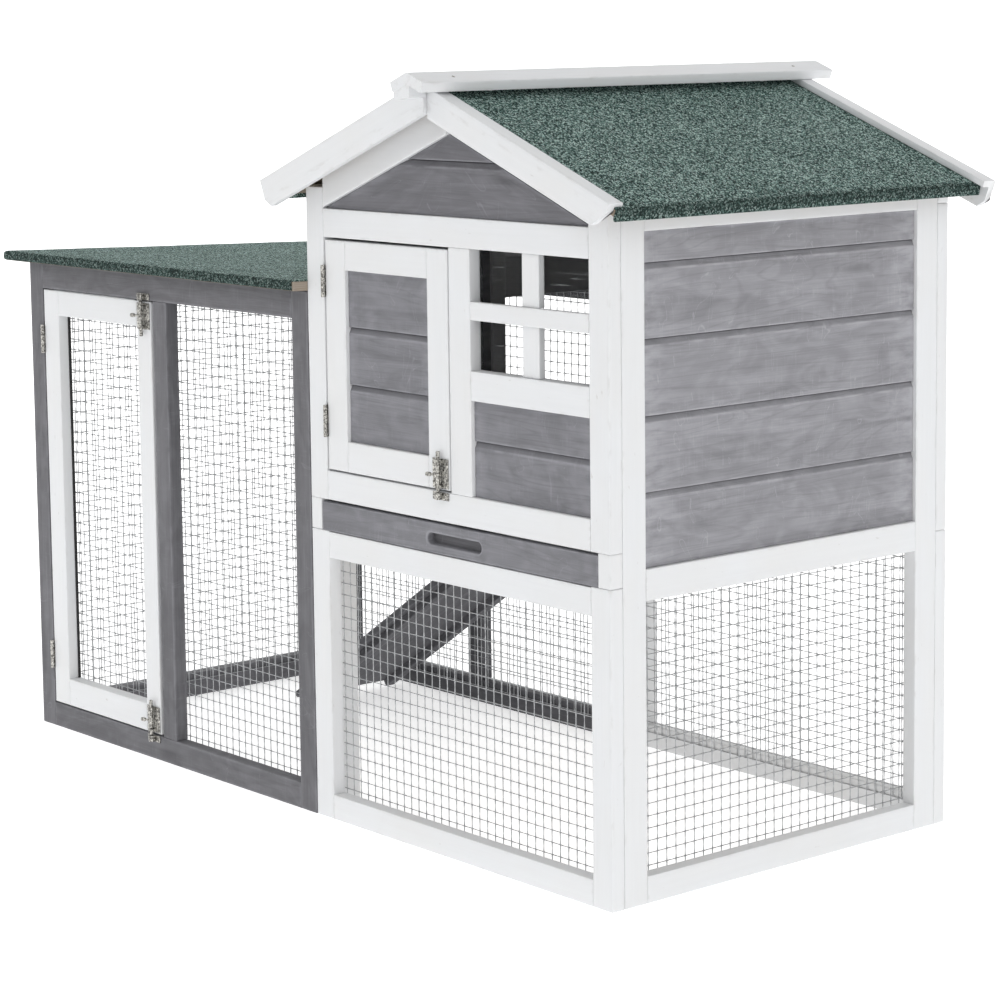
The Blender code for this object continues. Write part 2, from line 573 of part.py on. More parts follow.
def build_run():
    """Three framed wire panels, the door leaf and the low roof."""
    right = HOUSE_L - 0.0017
    top_f, top_b = run_under(PANEL_T) - JOINT_GAP, run_under(HOUSE_DEPTH) - JOINT_GAP
    stile_l = RUN_L + RUN_STILE_W
    stile_r = right - 0.0322
    post_l, post_r = RUN_POST_LEFT, RUN_POST_LEFT + RUN_POST_W
    panel("run_front_frame", (RUN_L, 0.0, right, top_f),
          [(stile_l, RUN_FOOT_RAIL_H, post_l, RUN_TOP_RAIL_LOW),
           (post_r, RUN_FOOT_RAIL_H, stile_r, RUN_TOP_RAIL_LOW)],
          0.0, PANEL_T, facing_front, "grey_stain")
    wire_panel("run_front_mesh", (post_r - MESH_LAP, RUN_FOOT_RAIL_H - MESH_LAP, stile_r + MESH_LAP,
                                  RUN_TOP_RAIL_LOW + MESH_LAP), PANEL_T + JOINT_GAP, facing_front)
    panel("run_back_frame", (RUN_L, 0.0, right, top_b),
          [(stile_l, RUN_FOOT_RAIL_H, post_l, RUN_SIDE_HEAD_LOW),
           (post_r, RUN_FOOT_RAIL_H, stile_r, RUN_SIDE_HEAD_LOW)],
          BACK_Y, HOUSE_DEPTH, facing_front, "grey_stain")
    wire_panel("run_back_mesh", (RUN_L + PANEL_T + MESH_EDGE_CLEAR, RUN_FOOT_RAIL_H - MESH_LAP, stile_r + MESH_LAP,
                                 RUN_SIDE_HEAD_LOW + MESH_LAP), BACK_Y - JOINT_GAP - WIRE_T, facing_front)
    y0, y1 = PANEL_T + JOINT_GAP, BACK_Y - JOINT_GAP
    top_e = run_under(y1) - JOINT_GAP

    def sloped(u, v, t):
        """The end panel's top follows the roof."""
        return (t, u, run_under(u) - JOINT_GAP if v > top_e - 0.0001 else v)
    panel("run_end_frame", (y0, 0.0, y1, top_e),
          [(y0 + STILE_W, RUN_FOOT_RAIL_H, y1 - STILE_W, RUN_SIDE_HEAD_LOW)],
          RUN_L, RUN_L + PANEL_T, sloped, "grey_stain")
    wire_panel("run_end_mesh", (y0 + STILE_W - MESH_LAP, RUN_FOOT_RAIL_H - MESH_LAP, y1 - STILE_W + MESH_LAP,
                                RUN_SIDE_HEAD_LOW + MESH_LAP), RUN_L + PANEL_T + JOINT_GAP, facing_side)
    build_run_roof(right)


def build_run_roof(right):
    """Board and wrapped felt, falling slightly to the back."""
    x0, x1 = RUN_L - RUN_ROOF_OVER, right + 0.0012
    y0, y1 = -RUN_ROOF_FRONT_OVER, HOUSE_DEPTH + RUN_ROOF_BACK_OVER
    skin = ROOF_FELT_T + JOINT_GAP

    def tilt(verts):
        return [(x, y, z + run_under(y)) for x, y, z in verts]
    verts, faces = box_mesh((x0 + skin, y0 + skin, 0.0), (x1, y1 - skin, RUN_BOARD_T))
    put("run_roof_board", tilt(verts), faces, "bare_ply")
    top = RUN_BOARD_T + skin
    inner = RUN_BOARD_T + JOINT_GAP
    t = ROOF_FELT_T
    x2 = x1 - 0.004
    plan = [(x0, y0), (x2, y0), (x2, y0 + t), (x0 + t, y0 + t), (x0 + t, y1 - t), (x2, y1 - t), (x2, y1), (x0, y1)]
    verts = [(x, y, 0.0) for x, y in plan] + [(x, y, inner) for x, y in plan] + [(x, y, top) for x, y in plan]
    faces = []
    caps = [(0, 1, 2, 3), (0, 3, 4, 7), (7, 4, 5, 6)]
    faces += [tuple(reversed(c)) for c in caps]
    faces += [(11, 12, 13, 10)]
    faces += [(16, 17, 18, 19), (16, 19, 20, 23), (23, 20, 21, 22), (19, 18, 21, 20)]
    for k in range(8):
        n = (k + 1) % 8
        faces.append((k, n, n + 8, k + 8))
        if k not in (2, 3, 4):
            faces.append((k + 8, n + 8, n + 16, k + 16))
    faces.append((10, 13, 21, 18))
    put("run_roof_felt", tilt(verts), faces, "green_felt")


# ---------------------------------------------------------------- doors and their hardware
def build_doors():
    """House door and run door leaves, each turning about its left-hand hinge line."""
    low, high = HOUSE_DOOR_LOW, HOUSE_DOOR_TOP
    pivot = hinge_line(HOUSE_L + STILE_W, HOUSE_DOOR_L)
    origin = (pivot[0], pivot[1], (low + high) / 2)
    opening = (HOUSE_DOOR_L + 0.0378, low + DOOR_RAIL_W - 0.001,
               HOUSE_DOOR_R - DOOR_RAIL_W, high - DOOR_RAIL_W + 0.0027)
    panel("house_door_frame", (HOUSE_DOOR_L, low, HOUSE_DOOR_R, high), [opening],
          0.0, PANEL_T, facing_front, "white_paint", origin)
    a, b, c, d = opening
    box("house_door_planks", (a + JOINT_GAP, PLANK_RECESS, b + JOINT_GAP),
        (c - JOINT_GAP, PLANK_RECESS + PLANK_T, d - JOINT_GAP), "grey_stain", origin)
    for word, z in (("low", low + HOUSE_HINGE_UP), ("top", high - HOUSE_HINGE_DOWN)):
        butt_hinge("house_door_hinge_" + word, (pivot[0], pivot[1], z), origin)
    low, high = RUN_DOOR_LOW, RUN_DOOR_TOP
    pivot = hinge_line(RUN_L + RUN_STILE_W, RUN_DOOR_L)
    origin = (pivot[0], pivot[1], (low + high) / 2)
    opening = (RUN_DOOR_L + RUN_DOOR_STILE_W + 0.0015, low + DOOR_RAIL_W - 0.0005,
               RUN_DOOR_RIGHT - RUN_DOOR_STILE_W + 0.0022, high - RUN_DOOR_STILE_W + 0.001)
    panel("run_door_frame", (RUN_DOOR_L, low, RUN_DOOR_RIGHT, high), [opening],
          0.0, PANEL_T, facing_front, "white_paint", origin)
    a, b, c, d = opening
    wire_panel("run_door_mesh", (a - MESH_LAP, b - MESH_LAP, c + MESH_LAP, d + MESH_LAP),
               PANEL_T + JOINT_GAP, facing_front, origin)
    for word, z in (("low", low + RUN_HINGE_UP), ("top", high - RUN_HINGE_DOWN)):
        butt_hinge("run_door_hinge_" + word, (pivot[0], pivot[1], z), origin)


def hinge_line(stile_edge, door_edge):
    """Centre of the hinge barrel, just proud of the face over the gap."""
    return ((stile_edge + door_edge) / 2, -HINGE_R - JOINT_GAP)


def butt_hinge(node, centre, origin):
    """Fixed leaf with end knuckles and pin; moving leaf with the bored middle knuckle.

    The pin stands upright, the leaves run back into the gap, and the moving leaf is on the door's side.
    """
    length, leaf_w = HINGE_L, HINGE_LEAF_W
    axis, away, side = Vector((0, 0, 1)), Vector((0, 1, 0)), Vector((1, 0, 0))
    third = length / 3
    gap = JOINT_GAP

    def leaf(tabs, hand):
        """Notched leaf plate: a strip clear of the barrel, joined to its own knuckles by tabs."""
        clear = HINGE_R + 0.0006
        holes = []
        last = -length / 2
        for a, b in tabs:
            if a > last + 1e-6:
                holes.append((0.0, last, clear, a))
            last = b
        if last < length / 2 - 1e-6:
            holes.append((0.0, last, clear, length / 2))
        t0, t1 = (0.0002, 0.0002 + HINGE_LEAF_T)

        def place(u, v, t):
            return tuple(Vector(centre) + away * u + axis * v + side * (hand * t))
        return cells_mesh((0.0, -length / 2, leaf_w, length / 2), holes, t0, t1, place)
    inner = third / 2 - gap
    outer = third / 2
    half = length / 2
    fixed = [(0, -half), (HINGE_R, -half), (HINGE_R, -outer), (HINGE_PIN_R, -outer), (HINGE_PIN_R, outer),
             (HINGE_R, outer), (HINGE_R, half), (0, half)]
    fixed_bodies = [lathe_mesh(fixed, centre, axis, side), leaf([(-half, -outer), (outer, half)], -1)]
    union(node + "_fixed_leaf", fixed_bodies, "zinc")
    tube = [(HINGE_BORE_R, -inner), (HINGE_R, -inner), (HINGE_R, inner), (HINGE_BORE_R, inner)]
    verts, faces = cells_mesh((HINGE_BORE_R + 0.0003, -inner, leaf_w, inner), [], 0.0002, 0.0002 + HINGE_LEAF_T,
                              lambda u, v, t: tuple(Vector(centre) + away * u + axis * v + side * t))
    union(node + "_moving_leaf", [lathe_mesh(tube, centre, axis, side), (verts, faces)], "zinc", origin)


def build_bolts():
    """Three barrel bolts, stored just withdrawn from their keepers."""
    door = (hinge_line(HOUSE_L + STILE_W, HOUSE_DOOR_L), (HOUSE_DOOR_LOW + HOUSE_DOOR_TOP) / 2)
    barrel_bolt("house_door_bolt", HOUSE_DOOR_R - BOLT_INSET, HOUSE_DOOR_LOW + 0.0018, -1, SILL_Z - 0.0002, door)
    door = (hinge_line(RUN_L + RUN_STILE_W, RUN_DOOR_L), (RUN_DOOR_LOW + RUN_DOOR_TOP) / 2)
    x = RUN_DOOR_RIGHT - BOLT_INSET
    barrel_bolt("run_door_bolt_top", x, RUN_DOOR_TOP - 0.0018, 1, RUN_TOP_RAIL_LOW + 0.0002, door)
    barrel_bolt("run_door_bolt_low", x, RUN_DOOR_LOW + 0.0018, -1, RUN_FOOT_RAIL_H - 0.0002, door)


def barrel_bolt(node, x, z_edge, way, z_rail, door):
    """Plate with two loops, sliding rod with a side knob, and a keeper on the rail beyond the gap."""
    origin = (door[0][0], door[0][1], door[1])
    y0 = -JOINT_GAP
    y_plate = y0 - BOLT_PLATE_T
    y_rod = y_plate - BOLT_CLEAR - BOLT_R - 0.0002
    loop_r = BOLT_R + BOLT_CLEAR
    y_out = y_rod - loop_r - 0.0012

    def span(a, b):
        return tuple(sorted((z_edge - way * a, z_edge - way * b)))

    def loop(z0, z1):
        """A square loop round the rod, its back let into the plate."""
        holes = [(x - loop_r, y_rod - loop_r, x + loop_r, y_rod + loop_r)]
        return cells_mesh((x - BOLT_LOOP_W / 2, y_out, x + BOLT_LOOP_W / 2, y_plate + BOLT_PLATE_T / 2), holes,
                          z0, z1, lying)
    z0, z1 = span(0.0, BOLT_PLATE_H)
    plate = box_mesh((x - BOLT_PLATE_W / 2, y_plate, z0), (x + BOLT_PLATE_W / 2, y0, z1))
    near = span(BOLT_LOOP_INSET, BOLT_LOOP_INSET + BOLT_LOOP_H)
    far = span(BOLT_PLATE_H - BOLT_LOOP_INSET - BOLT_LOOP_H, BOLT_PLATE_H - BOLT_LOOP_INSET)
    union(node + "_plate", [plate, loop(*near), loop(*far)], "zinc", origin)
    tip = z_rail - way * MOVE_GAP
    tail = z_edge - way * (BOLT_PLATE_H + BOLT_TAIL)
    rod = lathe_mesh([(0, 0.0), (BOLT_R, 0.0), (BOLT_R, abs(tip - tail)), (0, abs(tip - tail))],
                     (x, y_rod, min(tip, tail)), (0, 0, 1), (1, 0, 0))
    knob_z = z_edge - way * KNOB_AT
    stem = [(0, -0.0012), (KNOB_R * 0.6, -0.0012), (KNOB_R * 0.6, KNOB_L * 0.55), (KNOB_R, KNOB_L * 0.65),
            (KNOB_R, KNOB_L), (0, KNOB_L)]
    knob = lathe_mesh(stem, (x, y_rod - 0.0004, knob_z), (-0.94, -0.3412, 0), (0, 0, 1))
    union(node + "_rod", [rod, knob], "zinc", origin)
    k0, k1 = sorted((z_rail, z_rail + way * KEEPER_H))
    keeper_plate = box_mesh((x - BOLT_PLATE_W / 2, y_plate, k0), (x + BOLT_PLATE_W / 2, y0, k1))
    c0, c1 = sorted((z_rail + way * 0.0004, z_rail + way * (KEEPER_H - 0.001)))
    union(node + "_keeper", [keeper_plate, loop(c0, c1)], "zinc")


# ---------------------------------------------------------------- ramp
def build_ramp():
    """Cleated ramp board on two battens, hinged under the pop hole and resting on the ground."""
    axis_x = HOUSE_L - JOINT_GAP - HINGE_R - 0.0004
    axis_z = RAMP_TOP_Z
    origin = (axis_x, RAMP_FRONT_Y + RAMP_WIDTH / 2, axis_z)
    start = 0.004
    end = start + RAMP_LENGTH
    angle = ramp_angle(end, RAMP_BATTEN_H + RAMP_BOARD_T, axis_z - MOVE_GAP)
    ca, sa = math.cos(angle), math.sin(angle)

    def place(s, n, y):
        """s runs down the ramp from the hinge, n square to it and upwards."""
        return (axis_x - s * ca - n * sa, y, axis_z - s * sa + n * ca)
    under = -RAMP_BOARD_T
    step = (RAMP_LENGTH - 0.03) / RAMP_CLEATS
    gaps = []
    last = start
    for k in range(RAMP_CLEATS):
        s = start + 0.035 + k * step
        gaps.append((last, 0.0, s, RAMP_CLEAT_H))
        last = s + RAMP_CLEAT_W
    gaps.append((last, 0.0, end, RAMP_CLEAT_H))
    y0, y1 = RAMP_FRONT_Y, RAMP_FRONT_Y + RAMP_WIDTH
    board = cells_mesh((start, under, end, RAMP_CLEAT_H), gaps, y0, y1, place)
    low = under - RAMP_BATTEN_H
    inset = 0.0004
    strip = (start + 0.02, low, end - inset, under + 0.002)
    bodies = [board, cells_mesh(strip, [], y0 + inset, y0 + RAMP_BATTEN_W, place),
              cells_mesh(strip, [], y1 - RAMP_BATTEN_W, y1 - inset, place)]
    union("ramp_board", bodies, "grey_stain", origin)
    ramp_hinge(axis_x, axis_z, origin, place)


def ramp_angle(end, drop, height):
    """Slope at which the lowest corner, end along and drop below the hinge, just meets the ground."""
    reach = math.hypot(end, drop)
    return math.asin(height / reach) - math.atan2(drop, end)


def ramp_hinge(axis_x, axis_z, origin, place):
    """One wide hinge: its fixed leaf hangs down the wall, its moving leaf lies under the ramp board's edge."""
    y_mid = RAMP_FRONT_Y + RAMP_WIDTH / 2
    half = RAMP_HINGE_HALF
    third = half / 3
    inner = third - JOINT_GAP
    centre = (axis_x, y_mid, axis_z)
    fixed = [(0, -half), (HINGE_R, -half), (HINGE_R, -third), (HINGE_PIN_R, -third), (HINGE_PIN_R, third),
             (HINGE_R, third), (HINGE_R, half), (0, half)]
    x_wall = HOUSE_L - JOINT_GAP
    clear = HINGE_R + 0.0006
    drop = 0.016
    plate = cells_mesh((-half, axis_z - drop, half, axis_z), [(-third, axis_z - clear, third, axis_z)],
                       x_wall - HINGE_LEAF_T - 0.0002, x_wall, lambda u, v, t: (t, y_mid + u, v))
    union("ramp_hinge_fixed_leaf", [lathe_mesh(fixed, centre, (0, 1, 0), (0, 0, 1)), plate], "zinc")
    tube = [(HINGE_BORE_R, -inner), (HINGE_R, -inner), (HINGE_R, inner), (HINGE_BORE_R, inner)]
    arm = cells_mesh((HINGE_BORE_R + 0.0003, -inner, 0.0037, inner), [], 0.0002, 0.0002 + HINGE_LEAF_T,
                     lambda u, v, t: place(u, -t, y_mid + v))
    union("ramp_hinge_moving_leaf", [lathe_mesh(tube, centre, (0, 1, 0), (0, 0, 1)), arm], "zinc", origin)


def build():
    """Everything, in order from the ground up."""
    for obj in list(bpy.data.objects):
        bpy.data.objects.remove(obj)
    build_house_front()
    build_house_sides()
    build_house_back()
    build_floor_and_tray()
    build_house_roof()
    build_run()
    build_doors()
    build_bolts()
    build_ramp()


build()
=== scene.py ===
import json
import math

import bmesh
import bpy
import numpy as np
from mathutils import Matrix, Vector


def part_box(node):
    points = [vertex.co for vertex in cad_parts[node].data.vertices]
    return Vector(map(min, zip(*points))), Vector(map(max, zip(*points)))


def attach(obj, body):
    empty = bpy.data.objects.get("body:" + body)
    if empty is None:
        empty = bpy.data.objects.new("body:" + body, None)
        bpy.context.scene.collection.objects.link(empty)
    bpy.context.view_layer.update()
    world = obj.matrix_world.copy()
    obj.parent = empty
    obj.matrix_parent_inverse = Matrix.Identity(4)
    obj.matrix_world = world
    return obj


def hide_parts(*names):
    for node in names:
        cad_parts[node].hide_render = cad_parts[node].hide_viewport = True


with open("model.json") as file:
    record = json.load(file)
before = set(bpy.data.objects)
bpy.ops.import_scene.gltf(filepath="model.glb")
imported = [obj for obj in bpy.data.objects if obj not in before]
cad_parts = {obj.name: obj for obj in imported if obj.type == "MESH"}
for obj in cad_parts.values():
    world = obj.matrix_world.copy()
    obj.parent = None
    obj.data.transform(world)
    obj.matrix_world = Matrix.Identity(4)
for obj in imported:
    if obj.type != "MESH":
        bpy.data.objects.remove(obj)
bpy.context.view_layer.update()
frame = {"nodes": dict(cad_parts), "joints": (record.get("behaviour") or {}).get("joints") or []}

# Looks of a timber rabbit hutch: a gabled cabin over a wire room, and a low wire run on its left.
# Metres, +Z up, front towards -Y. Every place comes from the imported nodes' boxes and the sizes below.

# ---------------------------------------------------------------- sizes that the nodes' boxes don't give
STILE_W = 0.033                # width of the house's upright members
FOOT_H = 0.0305                # foot rails of the house
HEAD_LOW, HEAD_TOP = 0.704, 0.7377
SILL_TOP = 0.4257              # top of the rail under the door
TRAY_TOP = 0.391               # underside of that rail
LOWER_HEAD = 0.3205            # underside of the lower panels' top rail
MULLION = (0.2649, 0.3019)     # from the house's left edge
WINDOW_EDGE = 0.4987
WINDOW_SILL = (0.5345, 0.568)
TRAY_NOTCH = 0.0195
SIDE_STILES = (0.0337, 0.0347)
SIDE_RAIL = (0.334, 0.369)
SIDE_HEAD = 0.732
HOLE_W = 0.188
HOLE_Z = (0.395, 0.610)
RAFTER_D = 0.034
ROOF_SLOPE = 0.392
RUN_SLOPE = 0.034
RUN_HEAD, RUN_SIDE_HEAD, RUN_FOOT = 0.603, 0.585, 0.0327
RUN_POST = (0.2986, 0.3286)    # from the run's left edge
RUN_STILES = (0.0315, 0.0322)
DOOR_STILES, DOOR_RAILS = (0.0378, 0.0370), (0.0360, 0.0343)
RUN_DOOR_STILES, RUN_DOOR_RAILS = (0.0360, 0.0323), (0.0365, 0.0335)
BARGE_CLIP = 0.011             # height of the level cut on the barge boards' lower corners
BARGE_LEG, BARGE_DEPTH, BARGE_FLANGE = 0.009, 0.036, 0.008
BARGE_SHORT = {"barge_front_right": 0.0165}    # this one stops before the end of the roof boards
BARGE_CUT = {"barge_front_right": 0.022}       # its lower corner is cut deeper
BARGE_FOOT = {"barge_front_left": 0.0055}      # these stand higher or lower than the others on the felt
BARGE_TOP = {"barge_front_left": 0.0055, "barge_front_right": -0.0035}

EDGE = 0.0009                  # rounding of sawn and painted edges
SEAM = 0.00012                 # each butt joint is opened by this much on both members
WIRE_PITCH, WIRE_R = 0.0140, 0.00053
GROOVE_D, GROOVE_H = 0.0030, 0.0076
TURNS = 20                     # points round a turned part
BOARD_STEP = 0.04              # distance between the sections of a board
BREATHE = 0.00008              # how far a board's faces wander from flat
WELD_FAT, WIRE_THIN = 1.38, 0.90   # thickness of a wire at its welds and between them
WIRE_WANDER, WIRE_APART = 0.00014, 0.72
REBATE_SLOT = 0.0046           # depth of the open slot between two shiplap boards
PLANK_BACK = 0.009             # thickness of a shiplap board

FRONT_SEAMS, GABLE_SEAMS, DOOR_SEAMS = (0.489,), (0.800,), (0.532, 0.600)
SIDE_SEAMS = (0.451, 0.5335, 0.6165, 0.698)
BACK_SEAMS = (0.4535, 0.516, 0.5785, 0.641)
HOLE_POST = 0.209              # from the back stile to the far edge of the pop hole's post
ROOF_T = 0.0103                # felt and board together, square to the slope
RUN_ROOF_Z, RUN_FELT_T, RUN_FELT_ROLL = 0.6382, 0.0133, 0.0046
CAP_T, CAP_BLOCK = 0.012, 0.0228
BAR_Z, BAR_T, BAR_HALF = (0.6249, 0.6455), 0.0085, 0.014
FINGER_HALF, FINGER_R = 0.0415, 0.0065
PAN_T, PAN_CORNER = 0.0009, 0.008
RAMP_START, RAMP_LENGTH = 0.004, 0.570
RAMP_T, RAMP_BATTEN, RAMP_CLEAT, RAMP_CLEATS = 0.009, 0.009, 0.006, 8
ROD_R, BOLT_PLATE, BOLT_SCREW = 0.0024, 0.0012, 0.0098

rng = np.random.default_rng(11)
slope_cos = 1 / math.sqrt(1 + ROOF_SLOPE ** 2)
slope_sin = ROOF_SLOPE * slope_cos


def span(node):
    """A node's lowest and highest corners at rest, as two arrays."""
    low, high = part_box(node)
    return np.array(low), np.array(high)


# ---------------------------------------------------------------- closed bodies on grids
def ringed(points, grain, wear, capped=True):
    """Closed body over rings: points[k, j] is point j of ring k, and ring k joins ring k + 1 point by
    point. The two end rings are closed by flat caps, or joined to each other when not capped."""
    k, m = points.shape[:2]
    index = np.arange(k * m).reshape(k, m)
    ahead = np.roll(index, -1, axis=1)
    if capped:
        faces = np.stack([index[:-1], ahead[:-1], ahead[1:], index[1:]], -1).reshape(-1, 4).tolist()
        faces += [index[0][::-1].tolist(), index[-1].tolist()]
    else:
        faces = np.stack([index, ahead, np.roll(ahead, -1, 0), np.roll(index, -1, 0)], -1)
        faces = faces.reshape(-1, 4).tolist()
    return (points.reshape(-1, 3), faces, np.broadcast_to(grain, (k, m, 3)).reshape(-1, 3),
            np.broadcast_to(wear, (k, m)).reshape(-1))


def shuffled(grain):
    """Grain coordinates moved to a random place in the timber, so that no two boards match."""
    return grain + rng.uniform(0, 40, 3)


QUARTER = np.arange(4)
CORNER_A, CORNER_B = np.array([1, -1, -1, 1.0]), np.array([1, 1, -1, -1.0])
ARC = np.radians(QUARTER[:, None] * 90 + np.array([0, 30, 60, 90]))
NEXT = np.roll(QUARTER, -1)
NORMAL = np.radians((QUARTER + 1) * 90)
ALONG_A = QUARTER % 2 == 0
# one row per corner: four points of its curve, then the two plain points of the side that follows
SIGN_A = np.column_stack([np.repeat(CORNER_A[:, None], 5, 1), CORNER_A[NEXT]]).ravel()
SIGN_B = np.column_stack([np.repeat(CORNER_B[:, None], 5, 1), CORNER_B[NEXT]]).ravel()
DIR_A = np.column_stack([np.cos(ARC), np.cos(NORMAL), np.cos(NORMAL)]).ravel()
DIR_B = np.column_stack([np.sin(ARC), np.sin(NORMAL), np.sin(NORMAL)]).ravel()
PLAIN = np.tile([0, 0, 0, 0, 1.0, 1.0], 4)
PLAIN_A = PLAIN * np.repeat(ALONG_A, 6)
PLAIN_B = PLAIN * np.repeat(~ALONG_A, 6)


def board(low, high, along, edge=EDGE, bottom=None, top=None, at=None):
    """A sawn board: a smaller box grown by a ball of the edge radius, so that every edge and end is
    rounded. The section is carried along one axis, and its faces breathe by a slow sine. bottom(s) and
    top(s) may give the lower and upper limits at distance s, for a board with a sloping or cut edge."""
    low, high = np.array(low, float), np.array(high, float)
    across = 1 if along != 1 else 0
    up = 3 - along - across
    s0, s1 = low[along], high[along]
    turn = np.radians([18, 54, 90])
    margin = min(0.004, (s1 - s0) * 0.25)
    if at is None:
        at = np.linspace(s0 + margin, s1 - margin, max(2, int((s1 - s0) / BOARD_STEP)))
    middle = np.asarray(at)
    s = np.concatenate([s0 + edge * (1 - np.cos(turn)), middle, s1 - edge * (1 - np.cos(turn[::-1]))])
    flat = np.full(len(middle), edge) - BREATHE * (1 + np.sin(middle * 23 + rng.uniform(0, 6)))
    grow = np.concatenate([edge * np.sin(turn), flat, edge * np.sin(turn[::-1])])
    b0 = np.broadcast_to(bottom(s) if bottom else low[up], s.shape)
    b1 = np.broadcast_to(top(s) if top else high[up], s.shape)
    centre_b, half_b = ((b0 + b1) / 2)[:, None], ((b1 - b0) / 2)[:, None]
    half_a, centre_a = (high[across] - low[across]) / 2, (high[across] + low[across]) / 2
    ease_a, ease_b = min(0.004, half_a * 0.6), np.minimum(0.004, half_b * 0.6)
    pulled_a = edge + PLAIN_A * (ease_a - edge)
    pulled_b = edge + PLAIN_B * (ease_b - edge)
    a = centre_a + SIGN_A * (half_a - pulled_a) + grow[:, None] * DIR_A
    b = centre_b + SIGN_B * (half_b - pulled_b) + grow[:, None] * DIR_B
    lengthwise = np.broadcast_to(s[:, None], a.shape)
    points = np.empty(a.shape + (3,))
    points[..., along], points[..., across], points[..., up] = lengthwise, a, b
    end_wear = np.concatenate([np.ones(3), np.zeros(len(middle)), np.ones(3)])
    wear = np.maximum(1 - PLAIN, end_wear[:, None])
    return ringed(points, shuffled(np.stack([lengthwise, a, b], -1)), wear)


def eased(outline, radius, margin=0.003):
    """Closed outline with softened corners: each corner becomes the quadratic blend between two points a
    radius away along its sides, with a plain point a margin further on each side. Returns the points, and
    a mask that is 1 on the curves and 0 on the plain points."""
    p = np.asarray(outline, float)
    before, after = np.roll(p, 1, 0) - p, np.roll(p, -1, 0) - p
    lb, la = np.linalg.norm(before, axis=1)[:, None], np.linalg.norm(after, axis=1)[:, None]
    ub, ua = before / lb, after / la
    rb, ra = np.minimum(radius, lb * 0.3), np.minimum(radius, la * 0.3)
    mb, ma = np.minimum(radius + margin, lb * 0.45), np.minimum(radius + margin, la * 0.45)
    rows = [p + ub * mb, p + ub * rb, p + (ub * rb + ua * ra) * 0.25, p + ua * ra, p + ua * ma]
    return np.stack(rows, 1).reshape(-1, 2), np.tile([0.0, 1.0, 1.0, 1.0, 0.0], len(p))


def moulding(outline, place, stations, radius=0.0006, margin=0.003):
    """A section carried along a path: point (u, v) of the softened outline at station t goes to
    place(u, v, t). The grain runs along the path."""
    points, mask = eased(outline, radius, margin)
    u, v, t = points[:, 0][None], points[:, 1][None], np.asarray(stations, float)[:, None]
    x, y, z = place(u, v, t)
    shape = np.broadcast_shapes(u.shape, t.shape)
    grid = np.stack([np.broadcast_to(c, shape) for c in (x, y, z)], -1)
    step = np.linalg.norm(np.diff(grid.mean(1), axis=0), axis=1)
    along = np.concatenate([[0], np.cumsum(step)])[:, None]
    grain = np.stack([np.broadcast_to(c, shape) for c in (along, u, v)], -1)
    ends = np.zeros((len(stations), 1))
    ends[0] = ends[-1] = 1
    return ringed(grid, shuffled(grain), np.maximum(mask[None], ends))


def turned(profile, centre, axis, turns=TURNS):
    """A turned part: radius r at height h along the axis becomes a circle of points, with flat ends."""
    axis = np.asarray(axis, float) / np.linalg.norm(axis)
    side = np.cross(axis, [0.0, 0.0, 1.0] if abs(axis[2]) < 0.9 else [1.0, 0.0, 0.0])
    side /= np.linalg.norm(side)
    other = np.cross(axis, side)
    r, h = np.asarray(profile, float).T
    t = np.linspace(0, 2 * math.pi, turns, endpoint=False)
    spoke = np.cos(t)[:, None] * side + np.sin(t)[:, None] * other
    points = np.asarray(centre) + h[:, None, None] * axis + r[:, None, None] * spoke[None]
    return ringed(points, points, np.zeros(1))


def wire_sheet(low, high, plane):
    """Welded wire sheet between two corners of a thin box: each wire is a six-sided tube with two stations
    per weld, fatter at the weld, that wanders by a slow sine. Upright wires lie before the level ones."""
    pitch, radius = WIRE_PITCH, WIRE_R
    other = 1 - plane
    mid = (low[plane] + high[plane]) / 2
    parts = []
    for along, across, lift in ((2, other, -WIRE_APART), (other, 2, WIRE_APART)):
        count = max(2, round((high[across] - low[across] - 2 * radius) / pitch)) + 1
        welds = max(2, round((high[along] - low[along] - 2 * radius) / pitch)) * 2 + 1
        c = np.linspace(low[across] + radius * 1.8, high[across] - radius * 1.8, count)[:, None, None]
        s = np.linspace(low[along] + radius * 0.4, high[along] - radius * 0.4, welds)[None, :, None]
        phase = rng.uniform(0, 6.28, (count, 1, 1))
        fat = radius * np.where(np.arange(welds) % 2, WIRE_THIN, WELD_FAT)[None, :, None]
        t = np.linspace(0, 2 * math.pi, 6, endpoint=False)[None, None]
        rim = np.minimum(1, np.minimum(c - low[across], high[across] - c) / 0.002)
        wander = WIRE_WANDER * np.sin(s * 31 + phase) * rim
        grid = np.empty((count, welds, 6, 3))
        grid[..., along] = s
        grid[..., across] = c + wander + fat * np.cos(t)
        grid[..., plane] = mid + lift * radius + fat * np.sin(t)
        index = np.arange(count * welds * 6).reshape(count, welds, 6)
        ahead = np.roll(index, -1, 2)
        faces = np.stack([index[:, :-1], ahead[:, :-1], ahead[:, 1:], index[:, 1:]], -1).reshape(-1, 4)
        faces = faces.tolist() + index[:, 0, ::-1].tolist() + index[:, -1].tolist()
        flat = grid.reshape(-1, 3)
        parts.append((flat, faces, flat, np.zeros(len(flat))))
    return parts


